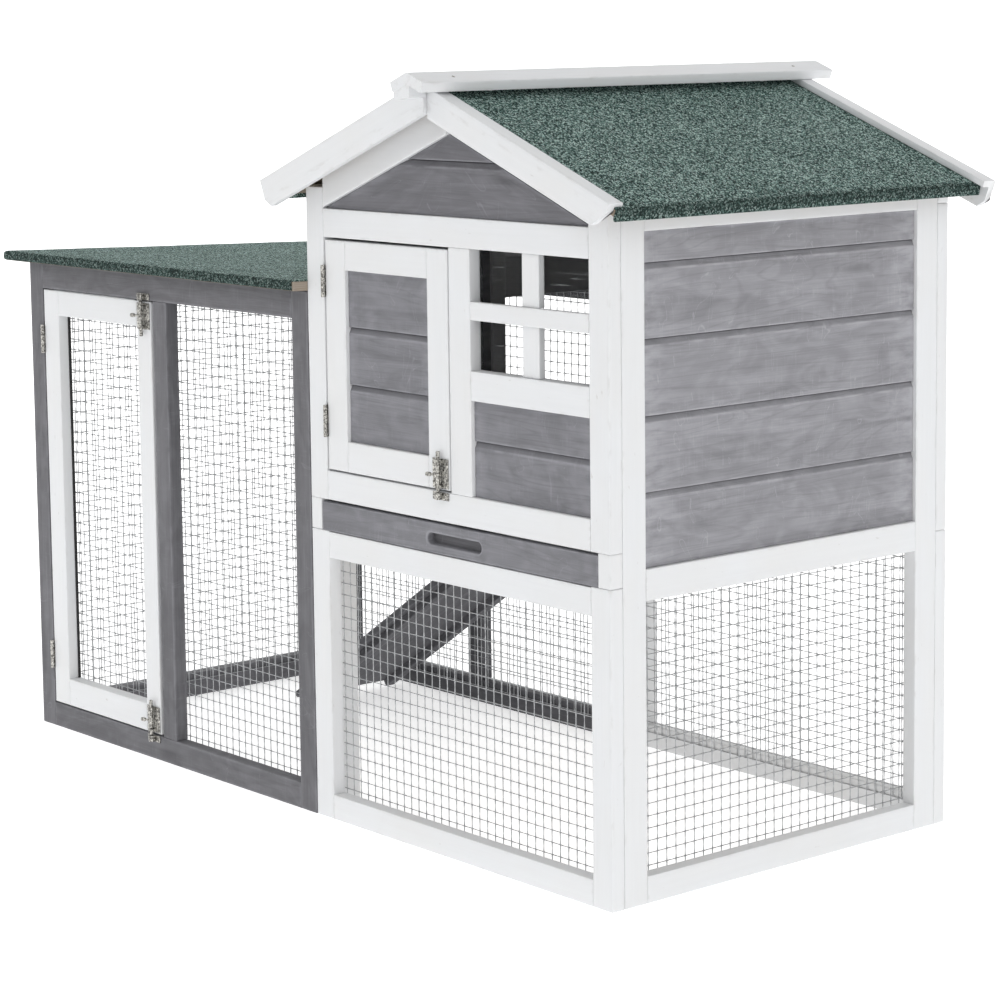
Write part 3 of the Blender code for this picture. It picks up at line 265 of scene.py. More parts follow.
def screw_head(centre, out, radius=0.0022, height=0.0009):
    """A domed head with a crossed recess: height falls with the square of the radius, less a cross-shaped
    dip."""
    out = np.asarray(out, float) / np.linalg.norm(out)
    side = np.cross(out, [0.3, 0.2, 1.0])
    side /= np.linalg.norm(side)
    other = np.cross(out, side)
    t = np.linspace(0, 2 * math.pi, 24, endpoint=False)
    r = np.array([1.0, 1.0, 0.85, 0.62, 0.45, 0.25, 0.08])[:, None]
    a, b = r * np.cos(t), r * np.sin(t)
    arm, reach = 0.16, 0.66
    slot = np.maximum(np.exp(-(a / arm) ** 4) * (np.abs(b) < reach),
                      np.exp(-(b / arm) ** 4) * (np.abs(a) < reach))
    lift = height * (1 - 0.75 * r ** 2) - height * 0.55 * slot
    lift[0] = -0.0004
    spread = a[..., None] * side + b[..., None] * other
    points = np.asarray(centre) + radius * spread + lift[..., None] * out
    return ringed(points, points, np.zeros(1))


# ---------------------------------------------------------------- making pieces
def piece(name, bodies, finish, body, nodes=(), sharp=40):
    """One named piece from closed bodies: their points and faces are joined, with the grain of each point and
    its wear and painted light kept as attributes, and all faces turned outwards. Its slot is its finish's
    own."""
    points, faces, grain, wear, start = [], [], [], [], 0
    for part_points, part_faces, part_grain, part_wear in bodies:
        points.append(part_points)
        faces += [[i + start for i in face] for face in part_faces]
        grain.append(part_grain)
        wear.append(part_wear)
        start += len(part_points)
    points, grain, wear = np.concatenate(points), np.concatenate(grain), np.concatenate(wear)
    mesh = bpy.data.meshes.new(name)
    mesh.from_pydata(points, [], faces)
    kept = (("grain", "FLOAT_VECTOR", "vector", grain), ("wear", "FLOAT", "value", wear))
    for key, kind, field, values in kept:
        mesh.attributes.new(key, kind, "POINT").data.foreach_set(field, values.astype(np.float32).ravel())
    work = bmesh.new()
    work.from_mesh(mesh)
    bmesh.ops.recalc_face_normals(work, faces=work.faces)
    work.to_mesh(mesh)
    work.free()
    mesh.shade_smooth()
    mesh.set_sharp_from_angle(angle=math.radians(sharp))
    mesh.materials.append(finish)
    thing = bpy.data.objects.new(name, mesh)
    bpy.context.scene.collection.objects.link(thing)
    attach(thing, body)
    if nodes:
        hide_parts(*nodes)


def repaint(finish, *nodes):
    """Give CAD nodes whose shape is right their finish."""
    for node in nodes:
        mesh = frame["nodes"][node].data
        if not mesh.materials:
            mesh.materials.append(finish)
        for i in range(len(mesh.materials)):
            mesh.materials[i] = finish


# ---------------------------------------------------------------- shader maths
class Field:
    """One value or colour inside a material. Arithmetic on it adds Math nodes."""

    def __init__(self, bench, socket):
        self.bench, self.socket = bench, socket

    def maths(self, operation, *values):
        return self.bench.node("ShaderNodeMath", {"operation": operation}, dict(enumerate(values)))

    def __add__(self, other): return self.maths("ADD", self, other)
    def __radd__(self, other): return self.maths("ADD", other, self)
    def __sub__(self, other): return self.maths("SUBTRACT", self, other)
    def __rsub__(self, other): return self.maths("SUBTRACT", other, self)
    def __mul__(self, other): return self.maths("MULTIPLY", self, other)
    def __rmul__(self, other): return self.maths("MULTIPLY", other, self)
    def __truediv__(self, other): return self.maths("DIVIDE", self, other)

    def clamped(self):
        return self.maths("MINIMUM", self.maths("MAXIMUM", self, 0.0), 1.0)

    def between(self, low, high):
        """0 below low, 1 above high, and a straight climb between them."""
        return ((self - low) / (high - low)).clamped()


class Bench:
    """A material being built."""

    def __init__(self, name):
        self.material = bpy.data.materials.new(name)
        self.material.use_nodes = True
        self.tree = self.material.node_tree
        self.shader = self.tree.nodes["Principled BSDF"]

    def node(self, kind, settings=None, inputs=None, output=0):
        """Any node: its settings first, then the values or links of its sockets. Returns one output."""
        made = self.tree.nodes.new(kind)
        for name, value in (settings or {}).items():
            if name == "stops":
                ramp = made.color_ramp
                while len(ramp.elements) < len(value):
                    ramp.elements.new(0.5)
                for element, (place, colour) in zip(ramp.elements, value):
                    element.position, element.color = place, (*colour, 1.0)
            else:
                setattr(made, name, value)
        for key, value in (inputs or {}).items():
            self.fill(made.inputs[key], value)
        return Field(self, made.outputs[output])

    def fill(self, socket, value):
        if isinstance(value, Field):
            self.tree.links.new(value.socket, socket)
        else:
            socket.default_value = value

    def finish(self, **inputs):
        """Set the surface's own sockets, underscores standing for spaces."""
        for name, value in inputs.items():
            self.fill(self.shader.inputs[name.replace("_", " ")], value)
        return self.material

    def grain(self, scale):
        """Grain coordinates stretched by a scale per direction: along the board, then across it."""
        at = self.node("ShaderNodeAttribute", {"attribute_name": "grain"}, {}, "Vector")
        return self.node("ShaderNodeMapping", {}, {"Vector": at, "Scale": scale})

    def place(self, scale):
        at = self.node("ShaderNodeTexCoord", {}, {}, "Object")
        return self.node("ShaderNodeMapping", {}, {"Vector": at, "Scale": scale})

    def wear(self):
        return self.node("ShaderNodeAttribute", {"attribute_name": "wear"}, {}, "Fac")

    def noise(self, at, scale=1.0, detail=4.0, roughness=0.55, distortion=0.0):
        sockets = {"Vector": at, "Scale": scale, "Detail": detail, "Roughness": roughness,
                   "Distortion": distortion}
        return self.node("ShaderNodeTexNoise", {}, sockets, "Fac")

    def blend(self, factor, a, b, mode="MIX"):
        """Mix two colours."""
        return self.node("ShaderNodeMix", {"data_type": "RGBA", "blend_type": mode},
                         {0: factor, 6: colour(a), 7: colour(b)}, 2)

    def bump(self, height, distance):
        return self.node("ShaderNodeBump", {}, {"Height": height, "Distance": distance, "Strength": 1.0})


def colour(value):
    return value if isinstance(value, Field) else (*value, 1.0)


# ---------------------------------------------------------------- finishes
def painted_timber(name):
    """White satin paint brushed on softwood: faint raised fibres, brush lines, rubbed edges, small marks."""
    b = Bench(name)
    at = b.grain
    fibre = b.noise(at((7.0, 190.0, 190.0)), detail=5.0, roughness=0.65, distortion=0.6)
    brush = b.noise(at((3.0, 900.0, 900.0)), detail=2.0)
    cloud = b.noise(at((9.0, 14.0, 14.0)), detail=3.0)
    speck = b.noise(at((60.0, 160.0, 160.0)), detail=2.0).between(0.72, 0.80)
    tone = b.blend(fibre.between(0.35, 0.72) * 0.40, (0.768, 0.780, 0.795), (0.718, 0.728, 0.743))
    tone = b.blend(cloud.between(0.38, 0.72) * 0.40, tone, (0.748, 0.740, 0.725))
    tone = b.blend(speck * 0.45, tone, (0.50, 0.48, 0.46))
    rubbed = b.wear() * b.noise(at((45.0, 120.0, 120.0)), detail=3.0).between(0.52, 0.66)
    tone = b.blend(rubbed * 0.30, tone, (0.56, 0.55, 0.54))
    height = fibre * 0.6 + brush * 0.25
    return b.finish(Base_Color=tone, Roughness=0.46 + 0.16 * fibre,
                    Normal=b.bump(height, 0.00025), Specular_IOR_Level=0.42)


def stained_timber(name, base):
    """Grey stain wiped on softwood: the fibres take it unevenly, with pale wiped streaks, darker rings and
    knots. It is paler on edges, partly rubbed stain and partly painted highlight, and carries painted shade
    in a rebate, where the points are marked below 0."""
    b = Bench(name)
    at = b.grain
    ring = b.noise(at((2.2, 34.0, 34.0)), detail=3.0, roughness=0.5, distortion=1.4)
    fibre = b.noise(at((9.0, 420.0, 420.0)), detail=4.0, roughness=0.6)
    wiped = b.noise(at((5.0, 62.0, 62.0)), detail=6.0, roughness=0.7, distortion=0.8)
    cross = b.noise(at((300.0, 26.0, 26.0)), detail=2.0)
    knot = b.node("ShaderNodeTexVoronoi", {"feature": "F1"}, {"Vector": at((3.2, 14.0, 14.0)), "Scale": 1.0,
                                                              "Randomness": 1.0}, "Distance")
    pale = tuple(min(1.0, c * 1.75) for c in base)
    dark = tuple(c * 0.52 for c in base)
    brushed = b.noise(at((13.0, 24.0, 24.0)), detail=3.0, roughness=0.45, distortion=2.2)
    tone = b.blend(ring.between(0.36, 0.70) * 0.42, base, dark)
    tone = b.blend(brushed.between(0.40, 0.70) * 0.26, tone, pale)
    tone = b.blend(wiped.between(0.55, 0.76) * 0.34, tone, pale)
    tone = b.blend(fibre.between(0.42, 0.70) * 0.18, tone, dark)
    rings = b.noise(at((1.5, 15.0, 15.0)), detail=1.5, distortion=0.7) * 21.0
    late = rings.maths("PINGPONG", rings, 0.5).between(0.36, 0.48)
    tone = b.blend(late * 0.20, tone, dark)
    arc = b.noise(at((22.0, 9.0, 9.0)), detail=1.0, distortion=2.5)
    scuff = arc.between(0.640, 0.648) * (1.0 - arc.between(0.650, 0.658)) * cross.between(0.30, 0.55)
    tone = b.blend(scuff * 0.35, tone, pale)
    tone = b.blend(cross.between(0.55, 0.75) * wiped.between(0.45, 0.6) * 0.20, tone, pale)
    tone = b.blend((1.0 - knot.between(0.03, 0.11)) * 0.55, tone, tuple(c * 0.35 for c in base))
    # paler edges: rubbed stain, together with a painted highlight where the rounded edges catch the light
    rubbed = b.wear().clamped() * b.noise(at((34.0, 90.0, 90.0)), detail=3.0).between(0.34, 0.60)
    tone = b.blend(rubbed * 0.50, tone, pale)
    # painted shade: darker where the points are marked below 0, in the rebate and slot under the board above
    tone = b.blend((0.0 - b.wear()).clamped() * 0.42, tone, tuple(c * 0.30 for c in base))
    height = fibre * 0.7 + wiped * 0.5 + ring * 0.4
    return b.finish(Base_Color=tone, Roughness=0.60 + 0.22 * fibre,
                    Normal=b.bump(height, 0.0005), Specular_IOR_Level=0.35)


def mineral_felt(name):
    """Roofing felt: crushed slate granules pressed in bitumen. Each cell is one granule with its own shade,
    from black-green to mint, standing up from the dark bed between."""
    b = Bench(name)
    at = b.place((1.0, 1.0, 1.0))
    cells = {"Vector": at, "Scale": 620.0, "Randomness": 1.0}
    shade = b.node("ShaderNodeTexVoronoi", {"feature": "F1"}, cells, "Color")
    apart = b.node("ShaderNodeTexVoronoi", {"feature": "F1"}, cells, "Distance")
    pick = b.node("ShaderNodeSeparateColor", {}, {0: shade}, 0)
    clump = b.noise(at, scale=210.0, detail=3.0)
    drift = b.noise(at, scale=9.0, detail=2.0)
    mixed = (pick * 0.72 + clump * 0.42 + drift * 0.12 - 0.10).clamped()
    tone = b.node("ShaderNodeValToRGB", {"stops": [
        (0.14, (0.006, 0.014, 0.012)), (0.37, (0.018, 0.046, 0.041)), (0.52, (0.078, 0.155, 0.136)),
        (0.66, (0.235, 0.375, 0.335)), (0.84, (0.58, 0.74, 0.69))]}, {0: mixed})
    tone = b.blend(apart.between(0.42, 0.80) * 0.75, tone, (0.008, 0.016, 0.015))
    # painted shade: the felt goes near-black where its points are marked, on the turned-down eave of the
    # house roof and on the rolled edges and underside of the run's felt
    tone = b.blend(b.wear().clamped() * 0.68, tone, (0.006, 0.014, 0.012))
    height = (1.0 - apart).clamped() * 0.8 + pick * 0.5
    return b.finish(Base_Color=tone, Roughness=0.80 + 0.18 * apart.clamped(),
                    Normal=b.bump(height, 0.0009), Specular_IOR_Level=0.25)


def plywood(name):
    """Bare thin plywood: pale veneer with long grain, and darker glue lines where an edge shows."""
    b = Bench(name)
    grain = b.noise(b.place((26.0, 3.0, 26.0)), detail=5.0, roughness=0.6, distortion=1.2)
    fibre = b.noise(b.place((420.0, 9.0, 420.0)), detail=3.0)
    layer = b.node("ShaderNodeTexWave", {"bands_direction": "Z"},
                   {"Vector": b.place((1.0, 1.0, 1.0)), "Scale": 130.0, "Distortion": 1.0}, "Fac")
    tone = b.blend(grain.between(0.35, 0.66), (0.36, 0.31, 0.255), (0.26, 0.215, 0.17))
    tone = b.blend(fibre.between(0.5, 0.72) * 0.4, tone, (0.26, 0.19, 0.13))
    tone = b.blend(layer.between(0.75, 0.95) * 0.35, tone, (0.17, 0.12, 0.08))
    return b.finish(Base_Color=tone, Roughness=0.66 + 0.2 * fibre,
                    Normal=b.bump(grain * 0.4 + fibre * 0.6, 0.0004))


def galvanised(name, tone_a, tone_b, scale, rough):
    """Zinc dipped steel: pale spangles of two greys with duller borders."""
    b = Bench(name)
    at = b.place((1.0, 1.0, 1.0))
    cells = {"Vector": at, "Scale": scale, "Randomness": 1.0}
    shade = b.node("ShaderNodeTexVoronoi", {"feature": "F1"}, cells, "Color")
    pick = b.node("ShaderNodeSeparateColor", {}, {0: shade}, 0)
    haze = b.noise(at, scale=scale * 2.5, detail=4.0)
    tone = b.blend(pick, tone_a, tone_b)
    tone = b.blend(haze.between(0.55, 0.75) * 0.35, tone, tuple(c * 0.6 for c in tone_a))
    return b.finish(Base_Color=tone, Metallic=0.85, Roughness=rough + 0.2 * haze,
                    Normal=b.bump(haze * 0.5 + pick * 0.3, 0.00012))


def bright_zinc(name):
    """Thin zinc plating on pressed steel: bright, uneven from the press, and dull in patches."""
    b = Bench(name)
    at = b.place((1.0, 1.0, 1.0))
    press = b.noise(at, scale=430.0, detail=3.0, roughness=0.6)
    patch = b.noise(at, scale=160.0, detail=2.0)
    tone = b.blend(press.between(0.42, 0.60), (0.16, 0.155, 0.145), (0.66, 0.645, 0.60))
    tone = b.blend(patch.between(0.55, 0.68) * 0.5, tone, (0.10, 0.095, 0.09))
    return b.finish(Base_Color=tone, Metallic=0.9, Roughness=0.16 + 0.25 * patch,
                    Normal=b.bump(press, 0.0009))


def clear_acrylic(name):
    """Thin clear sheet, seen by its gloss, a faint haze and hairline scratches."""
    b = Bench(name)
    scratch = b.noise(b.place((14.0, 40.0, 520.0)), detail=3.0, distortion=0.4).between(0.60, 0.70)
    haze = b.noise(b.place((6.0, 6.0, 6.0)), detail=3.0)
    return b.finish(Base_Color=b.blend(scratch, (0.06, 0.065, 0.07), (0.55, 0.57, 0.58)),
                    Alpha=(0.030 + 0.015 * haze + 0.10 * scratch).clamped(),
                    Roughness=0.04 + 0.25 * scratch, Normal=b.bump(haze, 0.0006), IOR=1.49)


def shadow_strip_finish(name):
    """Near-black strip with fine open cells, laid where a gap is in shade as painted shadow."""
    b = Bench(name)
    cell = b.noise(b.place((1.0, 1.0, 1.0)), scale=1400.0, detail=2.0)
    return b.finish(Base_Color=b.blend(cell, (0.010, 0.010, 0.011), (0.030, 0.030, 0.032)),
                    Roughness=0.8 + 0.15 * cell, Normal=b.bump(cell, 0.0003))


def studio_floor(name):
    """Seamless pale paper."""
    b = Bench(name)
    tooth = b.noise(b.place((1.0, 1.0, 1.0)), scale=600.0, detail=2.0)
    return b.finish(Base_Color=b.blend(tooth * 0.15, (0.93, 0.93, 0.93), (0.90, 0.90, 0.90)),
                    Roughness=0.85 + 0.1 * tooth, Emission_Color=(1.0, 1.0, 1.0, 1.0),
                    Emission_Strength=0.62)


WHITE = painted_timber("white_paint")
GREY = stained_timber("grey_stain_planks", base=(0.208, 0.208, 0.226))
# painted shade: a darker copy of the plank stain for the gable under the roof's overhang
GREY_GABLE_PAINTED_SHADE = stained_timber("grey_stain_gable_painted_shade", base=(0.172, 0.171, 0.186))
# painted sheen: a paler copy of the plank stain for the right side's boards, where the light grazes them
GREY_SIDE_PAINTED_SHEEN = stained_timber("grey_stain_side_planks_painted_sheen", base=(0.282, 0.281, 0.301))
GREY_RUN = stained_timber("grey_stain_run", base=(0.150, 0.149, 0.160))
# painted shade: a near-black copy of the stain for the run's back frame and the ramp, which stand in shade
GREY_PAINTED_SHADE = stained_timber("grey_stain_painted_shade", base=(0.088, 0.088, 0.096))
FELT = mineral_felt("green_granules")
PLY = plywood("bare_ply")
WIRE = galvanised("galvanised_wire", (0.36, 0.37, 0.38), (0.50, 0.51, 0.52), 260.0, 0.42)
SHEET = galvanised("galvanised_sheet", (0.50, 0.52, 0.54), (0.68, 0.69, 0.70), 70.0, 0.32)
ZINC = bright_zinc("zinc_plate")
CLEAR = clear_acrylic("clear_sheet")
# painted shadow: near-black strips set in gaps that are in shade
SHADOW_STRIP = shadow_strip_finish("painted_shadow_black")

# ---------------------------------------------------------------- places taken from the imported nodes
lower, lower_high = span("front_lower_frame")
HOUSE_L, HOUSE_R, FRONT, DECK = lower[0], lower_high[0], lower[1], lower_high[2]
FRONT_IN = lower_high[1]
back_low, back_high = span("back_lower_frame")
BACK_IN, BACK = back_low[1], back_high[1]
RIDGE_X = (HOUSE_L + HOUSE_R) / 2
side_low, side_high = span("right_side_frame")
run_low, run_high = span("run_front_frame")
RUN_L, RUN_R = run_low[0], run_high[0]
felt_low, felt_high = span("roof_felt_right")
FELT_PEAK = felt_high[2]


def roof_felt(x):
    """Height of the felt's top surface."""
    return FELT_PEAK - ROOF_SLOPE * np.abs(x - RIDGE_X)


def roof_under(x):
    """Height of the underside of the roof boards."""
    return roof_felt(x) - ROOF_T / slope_cos


def run_under(y):
    """Height of the underside of the run's roof, which falls to the back."""
    return RUN_ROOF_Z - RUN_SLOPE * (y - FRONT)


def members(plane, t0, t1, rows):
    """Boards of one framed panel. Each row is (u0, u1, z0, z1, way): way "up" for stiles and "level" for
    rails. plane is the axis across the panel's thickness."""
    made = []
    level = 1 - plane
    for u0, u1, z0, z1, way in rows:
        low, high = np.zeros(3), np.zeros(3)
        low[plane], high[plane] = t0, t1
        low[level], high[level] = u0, u1
        low[2], high[2] = z0, z1
        along = 2 if way == "up" else level
        low[along] += SEAM
        high[along] -= SEAM
        made.append(board(low, high, along))
    return made


def plank_wall(node, plane, out, seams, width=None):
    """A wall of shiplap boards in a node's box. Each board is its own closed strip, a section with a rebated
    top carried along the wall, so the grain changes at each seam."""
    low, high = span(node)
    level = 1 - plane
    face = low[plane] if out < 0 else high[plane]
    back = face - out * PLANK_BACK
    edges = [low[2]] + sorted(seams) + [high[2]]
    made = []
    for k in range(len(edges) - 1):
        z0, z1 = edges[k], edges[k + 1]
        top_cut = k + 1 < len(edges) - 1
        outline = [(back, z0), (back, z1 - 0.0001)]
        if top_cut:      # the board's top is rebated, with a narrow open slot under the board above
            slot, rebate = face - out * REBATE_SLOT, face - out * GROOVE_D
            outline += [(slot, z1 - 0.0001), (slot, z1 - 0.0006), (rebate, z1 - 0.0007),
                        (face - out * GROOVE_D * 0.62, z1 - GROOVE_H * 0.55),
                        (face - out * 0.0001, z1 - GROOVE_H)]
        else:
            outline += [(face, z1 - 0.0001)]
        outline += [(face, z0 + 0.0001)]

        def place(u, v, t):
            reach = width(v) if width else (low[level], high[level])
            across = reach[0] + (reach[1] - reach[0]) * t
            return (u, across, v) if plane == 0 else (across, u, v)
        points, faces, grain, wear = moulding(outline, place, np.linspace(0, 1, 9), 0.00035, 0.002)
        sunk = (face - points[:, plane]) * out
        if top_cut:      # painted shade: the rebate and slot under the board above are marked to be darker
            inside = (sunk > 0.0006) & (sunk < REBATE_SLOT + 0.001)
            wear = np.where(inside, -np.clip(sunk / GROOVE_D, 0, 1), wear)
        made.append((points, faces, grain, wear))
    return made


# ---------------------------------------------------------------- house walls
def house_front():
    left, right = HOUSE_L + STILE_W, HOUSE_L + WINDOW_EDGE
    notch_l, notch_r = HOUSE_L + TRAY_NOTCH, HOUSE_R - TRAY_NOTCH
    mull_l, mull_r = HOUSE_L + MULLION[0], HOUSE_L + MULLION[1]
    deck = DECK + 0.0003
    rows = [(HOUSE_L, notch_l, deck, TRAY_TOP, "up"), (notch_r, HOUSE_R, deck, TRAY_TOP, "up"),
            (left, right, TRAY_TOP, SILL_TOP, "level"), (left, right, HEAD_LOW, HEAD_TOP, "level"),
            (mull_l, mull_r, SILL_TOP, HEAD_LOW, "up"), (mull_r, right, *WINDOW_SILL, "level")]
    made = members(1, FRONT, FRONT_IN, rows) + gable_frame(FRONT, FRONT_IN, left, right)
    piece("front_upper_boards", made, WHITE, "hutch", ["front_upper_frame"])
    rows = [(HOUSE_L, left, 0.0, DECK, "up"), (right, HOUSE_R, 0.0, DECK, "up"),
            (left, right, LOWER_HEAD, DECK - 0.001, "level"), (left, right, 0.0, FOOT_H, "level")]
    piece("front_lower_boards", members(1, FRONT, FRONT_IN, rows), WHITE, "hutch", ["front_lower_frame"])
    piece("front_planks_shiplap", plank_wall("front_planks", 1, -1, FRONT_SEAMS), GREY, "hutch",
          ["front_planks"])
    low, high = span("front_gable_planks")

    def gable(z):
        half = (high[2] - z) / (high[2] - low[2]) * (high[0] - low[0]) / 2
        return RIDGE_X - np.maximum(half, 0.001), RIDGE_X + np.maximum(half, 0.001)
    piece("gable_shiplap", plank_wall("front_gable_planks", 1, -1, GABLE_SEAMS, gable), GREY_GABLE_PAINTED_SHADE, "hutch",
          ["front_gable_planks"])


def under_roof(s):
    return roof_under(s) - 0.0003


def gable_frame(y0, y1, left, right):
    """Stiles that run up to the roof, and two sloping boards between them whose tops follow the roof and
    whose feet stand on the header."""
    made = []
    for x0, x1 in ((HOUSE_L, left - SEAM), (right + SEAM, HOUSE_R)):
        high = min(under_roof(x0), under_roof(x1))
        made.append(board((x0, y0, TRAY_TOP), (x1, y1, high), 2))
    for x0, x1, deep in ((left, RIDGE_X - SEAM, RAFTER_D), (RIDGE_X + SEAM, right, RAFTER_D - 0.0025)):
        made.append(board((x0, y0, 0), (x1, y1, 0), 0, EDGE,
                          lambda s: np.maximum(HEAD_TOP + SEAM, under_roof(s) - deep / slope_cos),
                          under_roof, np.linspace(x0 + 0.003, x1 - 0.003, 24)))
    return made


def window():
    low, high = span("window_bars")
    pane_low, pane_high = span("window_pane")
    mid = (low[0] + high[0]) / 2
    made = [board((low[0], low[1], BAR_Z[0]), (high[0], low[1] + BAR_T, BAR_Z[1]), 0, 0.0007)]
    for z0, z1 in ((low[2], BAR_Z[0] - SEAM), (BAR_Z[1] + SEAM, high[2])):
        made.append(board((mid - BAR_HALF, low[1] + 0.004, z0), (mid + BAR_HALF, high[1], z1), 2, 0.0007))
    piece("window_cross", made, WHITE, "hutch", ["window_bars"])
    repaint(CLEAR, "window_pane")
    # painted shadow: near-black strips behind the pane's two side edges, where the frame's opening is in
    # shade
    edge = []
    y0, y1 = pane_high[1] + 0.0003, pane_high[1] + 0.0036
    for x0, x1 in ((pane_low[0] - 0.0006, pane_low[0] + 0.0010),
                   (pane_high[0] - 0.0010, pane_high[0] + 0.0006)):
        edge.append(board((x0, y0, low[2]), (x1, y1, high[2]), 2, 0.0004))
    piece("window_painted_shadow_strip", edge, SHADOW_STRIP, "hutch", ())


def house_sides():
    y0, y1, top = side_low[1], side_high[1], side_high[2]
    a, b = y0 + SIDE_STILES[0], y1 - SIDE_STILES[1]
    rows = [(y0, a, 0.0, top, "up"), (b, y1, 0.0, top, "up"), (a, b, SIDE_HEAD, top, "level"),
            (a, b, *SIDE_RAIL, "level"), (a, b, 0.0, FOOT_H, "level")]
    piece("right_side_boards", members(0, side_low[0], side_high[0], rows), WHITE, "hutch",
          ["right_side_frame"])
    piece("right_side_shiplap", plank_wall("right_side_planks", 0, 1, SIDE_SEAMS), GREY_SIDE_PAINTED_SHEEN, "hutch",
          ["right_side_planks"])
    low, high = span("left_side_frame")
    hole_front = b - HOLE_W
    post = b - HOLE_POST
    lintel = (HOLE_Z[1], HOLE_Z[1] + 0.05, HOLE_Z[1] + 0.10, SIDE_HEAD)
    rows = [(y0, a, 0.0, top, "up"), (b, y1, 0.0, top, "up"), (a, b, SIDE_HEAD, top, "level"),
            (a, b, SIDE_RAIL[0] - 0.012, SIDE_RAIL[1], "level"),
            (post, hole_front, SIDE_RAIL[1], SIDE_HEAD, "up"),
            (hole_front, b, SIDE_RAIL[1], HOLE_Z[0], "level")]
    rows += [(hole_front, b, z0, z1, "level") for z0, z1 in zip(lintel, lintel[1:])]
    piece("left_side_boards", members(0, low[0], high[0], rows), WHITE, "hutch", ["left_side_frame"])
    piece("left_side_shiplap", plank_wall("left_side_planks", 0, -1, SIDE_SEAMS), GREY, "hutch",
          ["left_side_planks"])


def house_back():
    left, right = HOUSE_L + STILE_W, HOUSE_L + WINDOW_EDGE
    deck = DECK + 0.0003
    rows = [(HOUSE_L, left, deck, HEAD_TOP, "up"), (right, HOUSE_R, deck, HEAD_TOP, "up"),
            (left, right, deck, TRAY_TOP, "level"), (left, right, HEAD_LOW, HEAD_TOP, "level")]
    made = members(1, BACK_IN, BACK, rows)
    apex = float(roof_under(RIDGE_X))
    steps = [HEAD_TOP, HEAD_TOP + 0.046, HEAD_TOP + 0.092, apex - 0.0003]
    for z0, z1 in zip(steps, steps[1:]):
        half = min(RIDGE_X - HOUSE_L, (apex - 0.0006 - z0) / ROOF_SLOPE)
        x0, x1 = RIDGE_X - half, RIDGE_X + half
        made.append(board((x0, BACK_IN, z0), (x1, BACK, z1), 0, EDGE, lambda s, z=z0: z + SEAM + 0 * s,
                          lambda s, z=z0, w=z1: np.clip(roof_under(s) - 0.0006, z + 0.0025, w - SEAM),
                          np.linspace(x0 + 0.003, x1 - 0.003, 30)))
    piece("back_upper_boards", made, WHITE, "hutch", ["back_upper_frame"])
    piece("back_shiplap", plank_wall("back_planks", 1, 1, BACK_SEAMS), GREY, "hutch",
          ["back_planks"])
    rows = [(HOUSE_L, left, 0.0, DECK, "up"), (right, HOUSE_R, 0.0, DECK, "up"),
            (left, right, LOWER_HEAD, DECK - 0.001, "level"), (left, right, 0.0, FOOT_H, "level")]
    piece("back_lower_boards", members(1, BACK_IN, BACK, rows), WHITE, "hutch", ["back_lower_frame"])


# ---------------------------------------------------------------- roof
def house_roof():
    y0, y1 = felt_low[1], felt_high[1]
    for hand, word in ((-1, "left"), (1, "right")):
        low, high = span("roof_felt_" + word)
        reach = max(abs(low[0] - RIDGE_X), abs(high[0] - RIDGE_X))
        outline = [(0.0004, 0.0), (reach - 0.0030, 0.0), (reach - 0.0003, -0.0024), (reach, -0.0060),
                   (reach + 0.0014, -0.0138), (reach - 0.0022, -0.0142), (reach - 0.0034, -0.0105),
                   (reach - 0.0034, -0.0020), (0.0012, -0.0020)]

        def place(u, v, t):
            ripple = 0.00022 * np.sin(t * 57 + u * 9) + 0.00016 * np.sin(t * 131 + u * 31)
            lift = v + ripple * (v > -0.003) - 0.0003
            x = RIDGE_X + hand * (u + lift * slope_sin)
            return x, y0 + t, FELT_PEAK - ROOF_SLOPE * u + lift * slope_cos
        stations = np.linspace(0.0, y1 - y0, 70)
        points, faces, grain, wear = moulding(outline, place, stations, 0.0012, 0.006)
        # painted shade: the felt's turned-down eave edge is marked to be darkened
        wear = np.clip((hand * (points[:, 0] - RIDGE_X) - (reach - 0.0068)) / 0.0045, 0, 1)
        piece("felt_" + word, [(points, faces, grain, wear)], FELT, "hutch",
              ["roof_felt_" + word])
        for end, inward in (("front", 1), ("back", -1)):
            barge_board(hand, word, end, inward)
    repaint(PLY, "roof_board_left", "roof_board_right", "run_roof_board", "floor_sheet")
    low, high = span("ridge_cap")
    peak, half = high[2], (high[0] - low[0]) / 2
    thick, cut = CAP_T / slope_cos, CAP_T * slope_sin
    foot = peak - ROOF_SLOPE * half
    inner, below = half - cut, foot - CAP_T * slope_cos
    outline = [(0.0, peak), (half, foot), (inner, below), (0.0, peak - thick), (-inner, below), (-half, foot)]
    block = [(0.0, peak - thick + 0.0006), (0.0040, peak - thick - 0.0010), (0.0040, peak - thick - 0.0150),
             (-inner + 0.0016, foot - 0.0195), (-inner + 0.0012, foot - 0.0100)]
    made = []
    for section, start, length, steps, radius in ((outline, 0.0, high[1] - low[1], 24, 0.0014),
                                                  (block, 0.0006, CAP_BLOCK, 6, 0.0008)):
        made.append(moulding(section, lambda u, v, t: (RIDGE_X + u, low[1] + start + t, v),
                             np.linspace(0, length, steps), radius))
    piece("ridge_capping", made, WHITE, "hutch", ["ridge_cap"])
    head = [(0.0021, -0.0008), (0.0021, 0.0002), (0.0016, 0.0005), (0.0003, 0.0006)]
    nails = []
    for y in (low[1] + 0.055, high[1] - 0.055):
        for side in (-1, 1):
            x = half * 0.52
            centre = (RIDGE_X + side * x, y, peak - ROOF_SLOPE * x)
            nails.append(turned(head, centre, (side * slope_sin, 0, slope_cos)))
    piece("ridge_nails", nails, ZINC, "hutch")


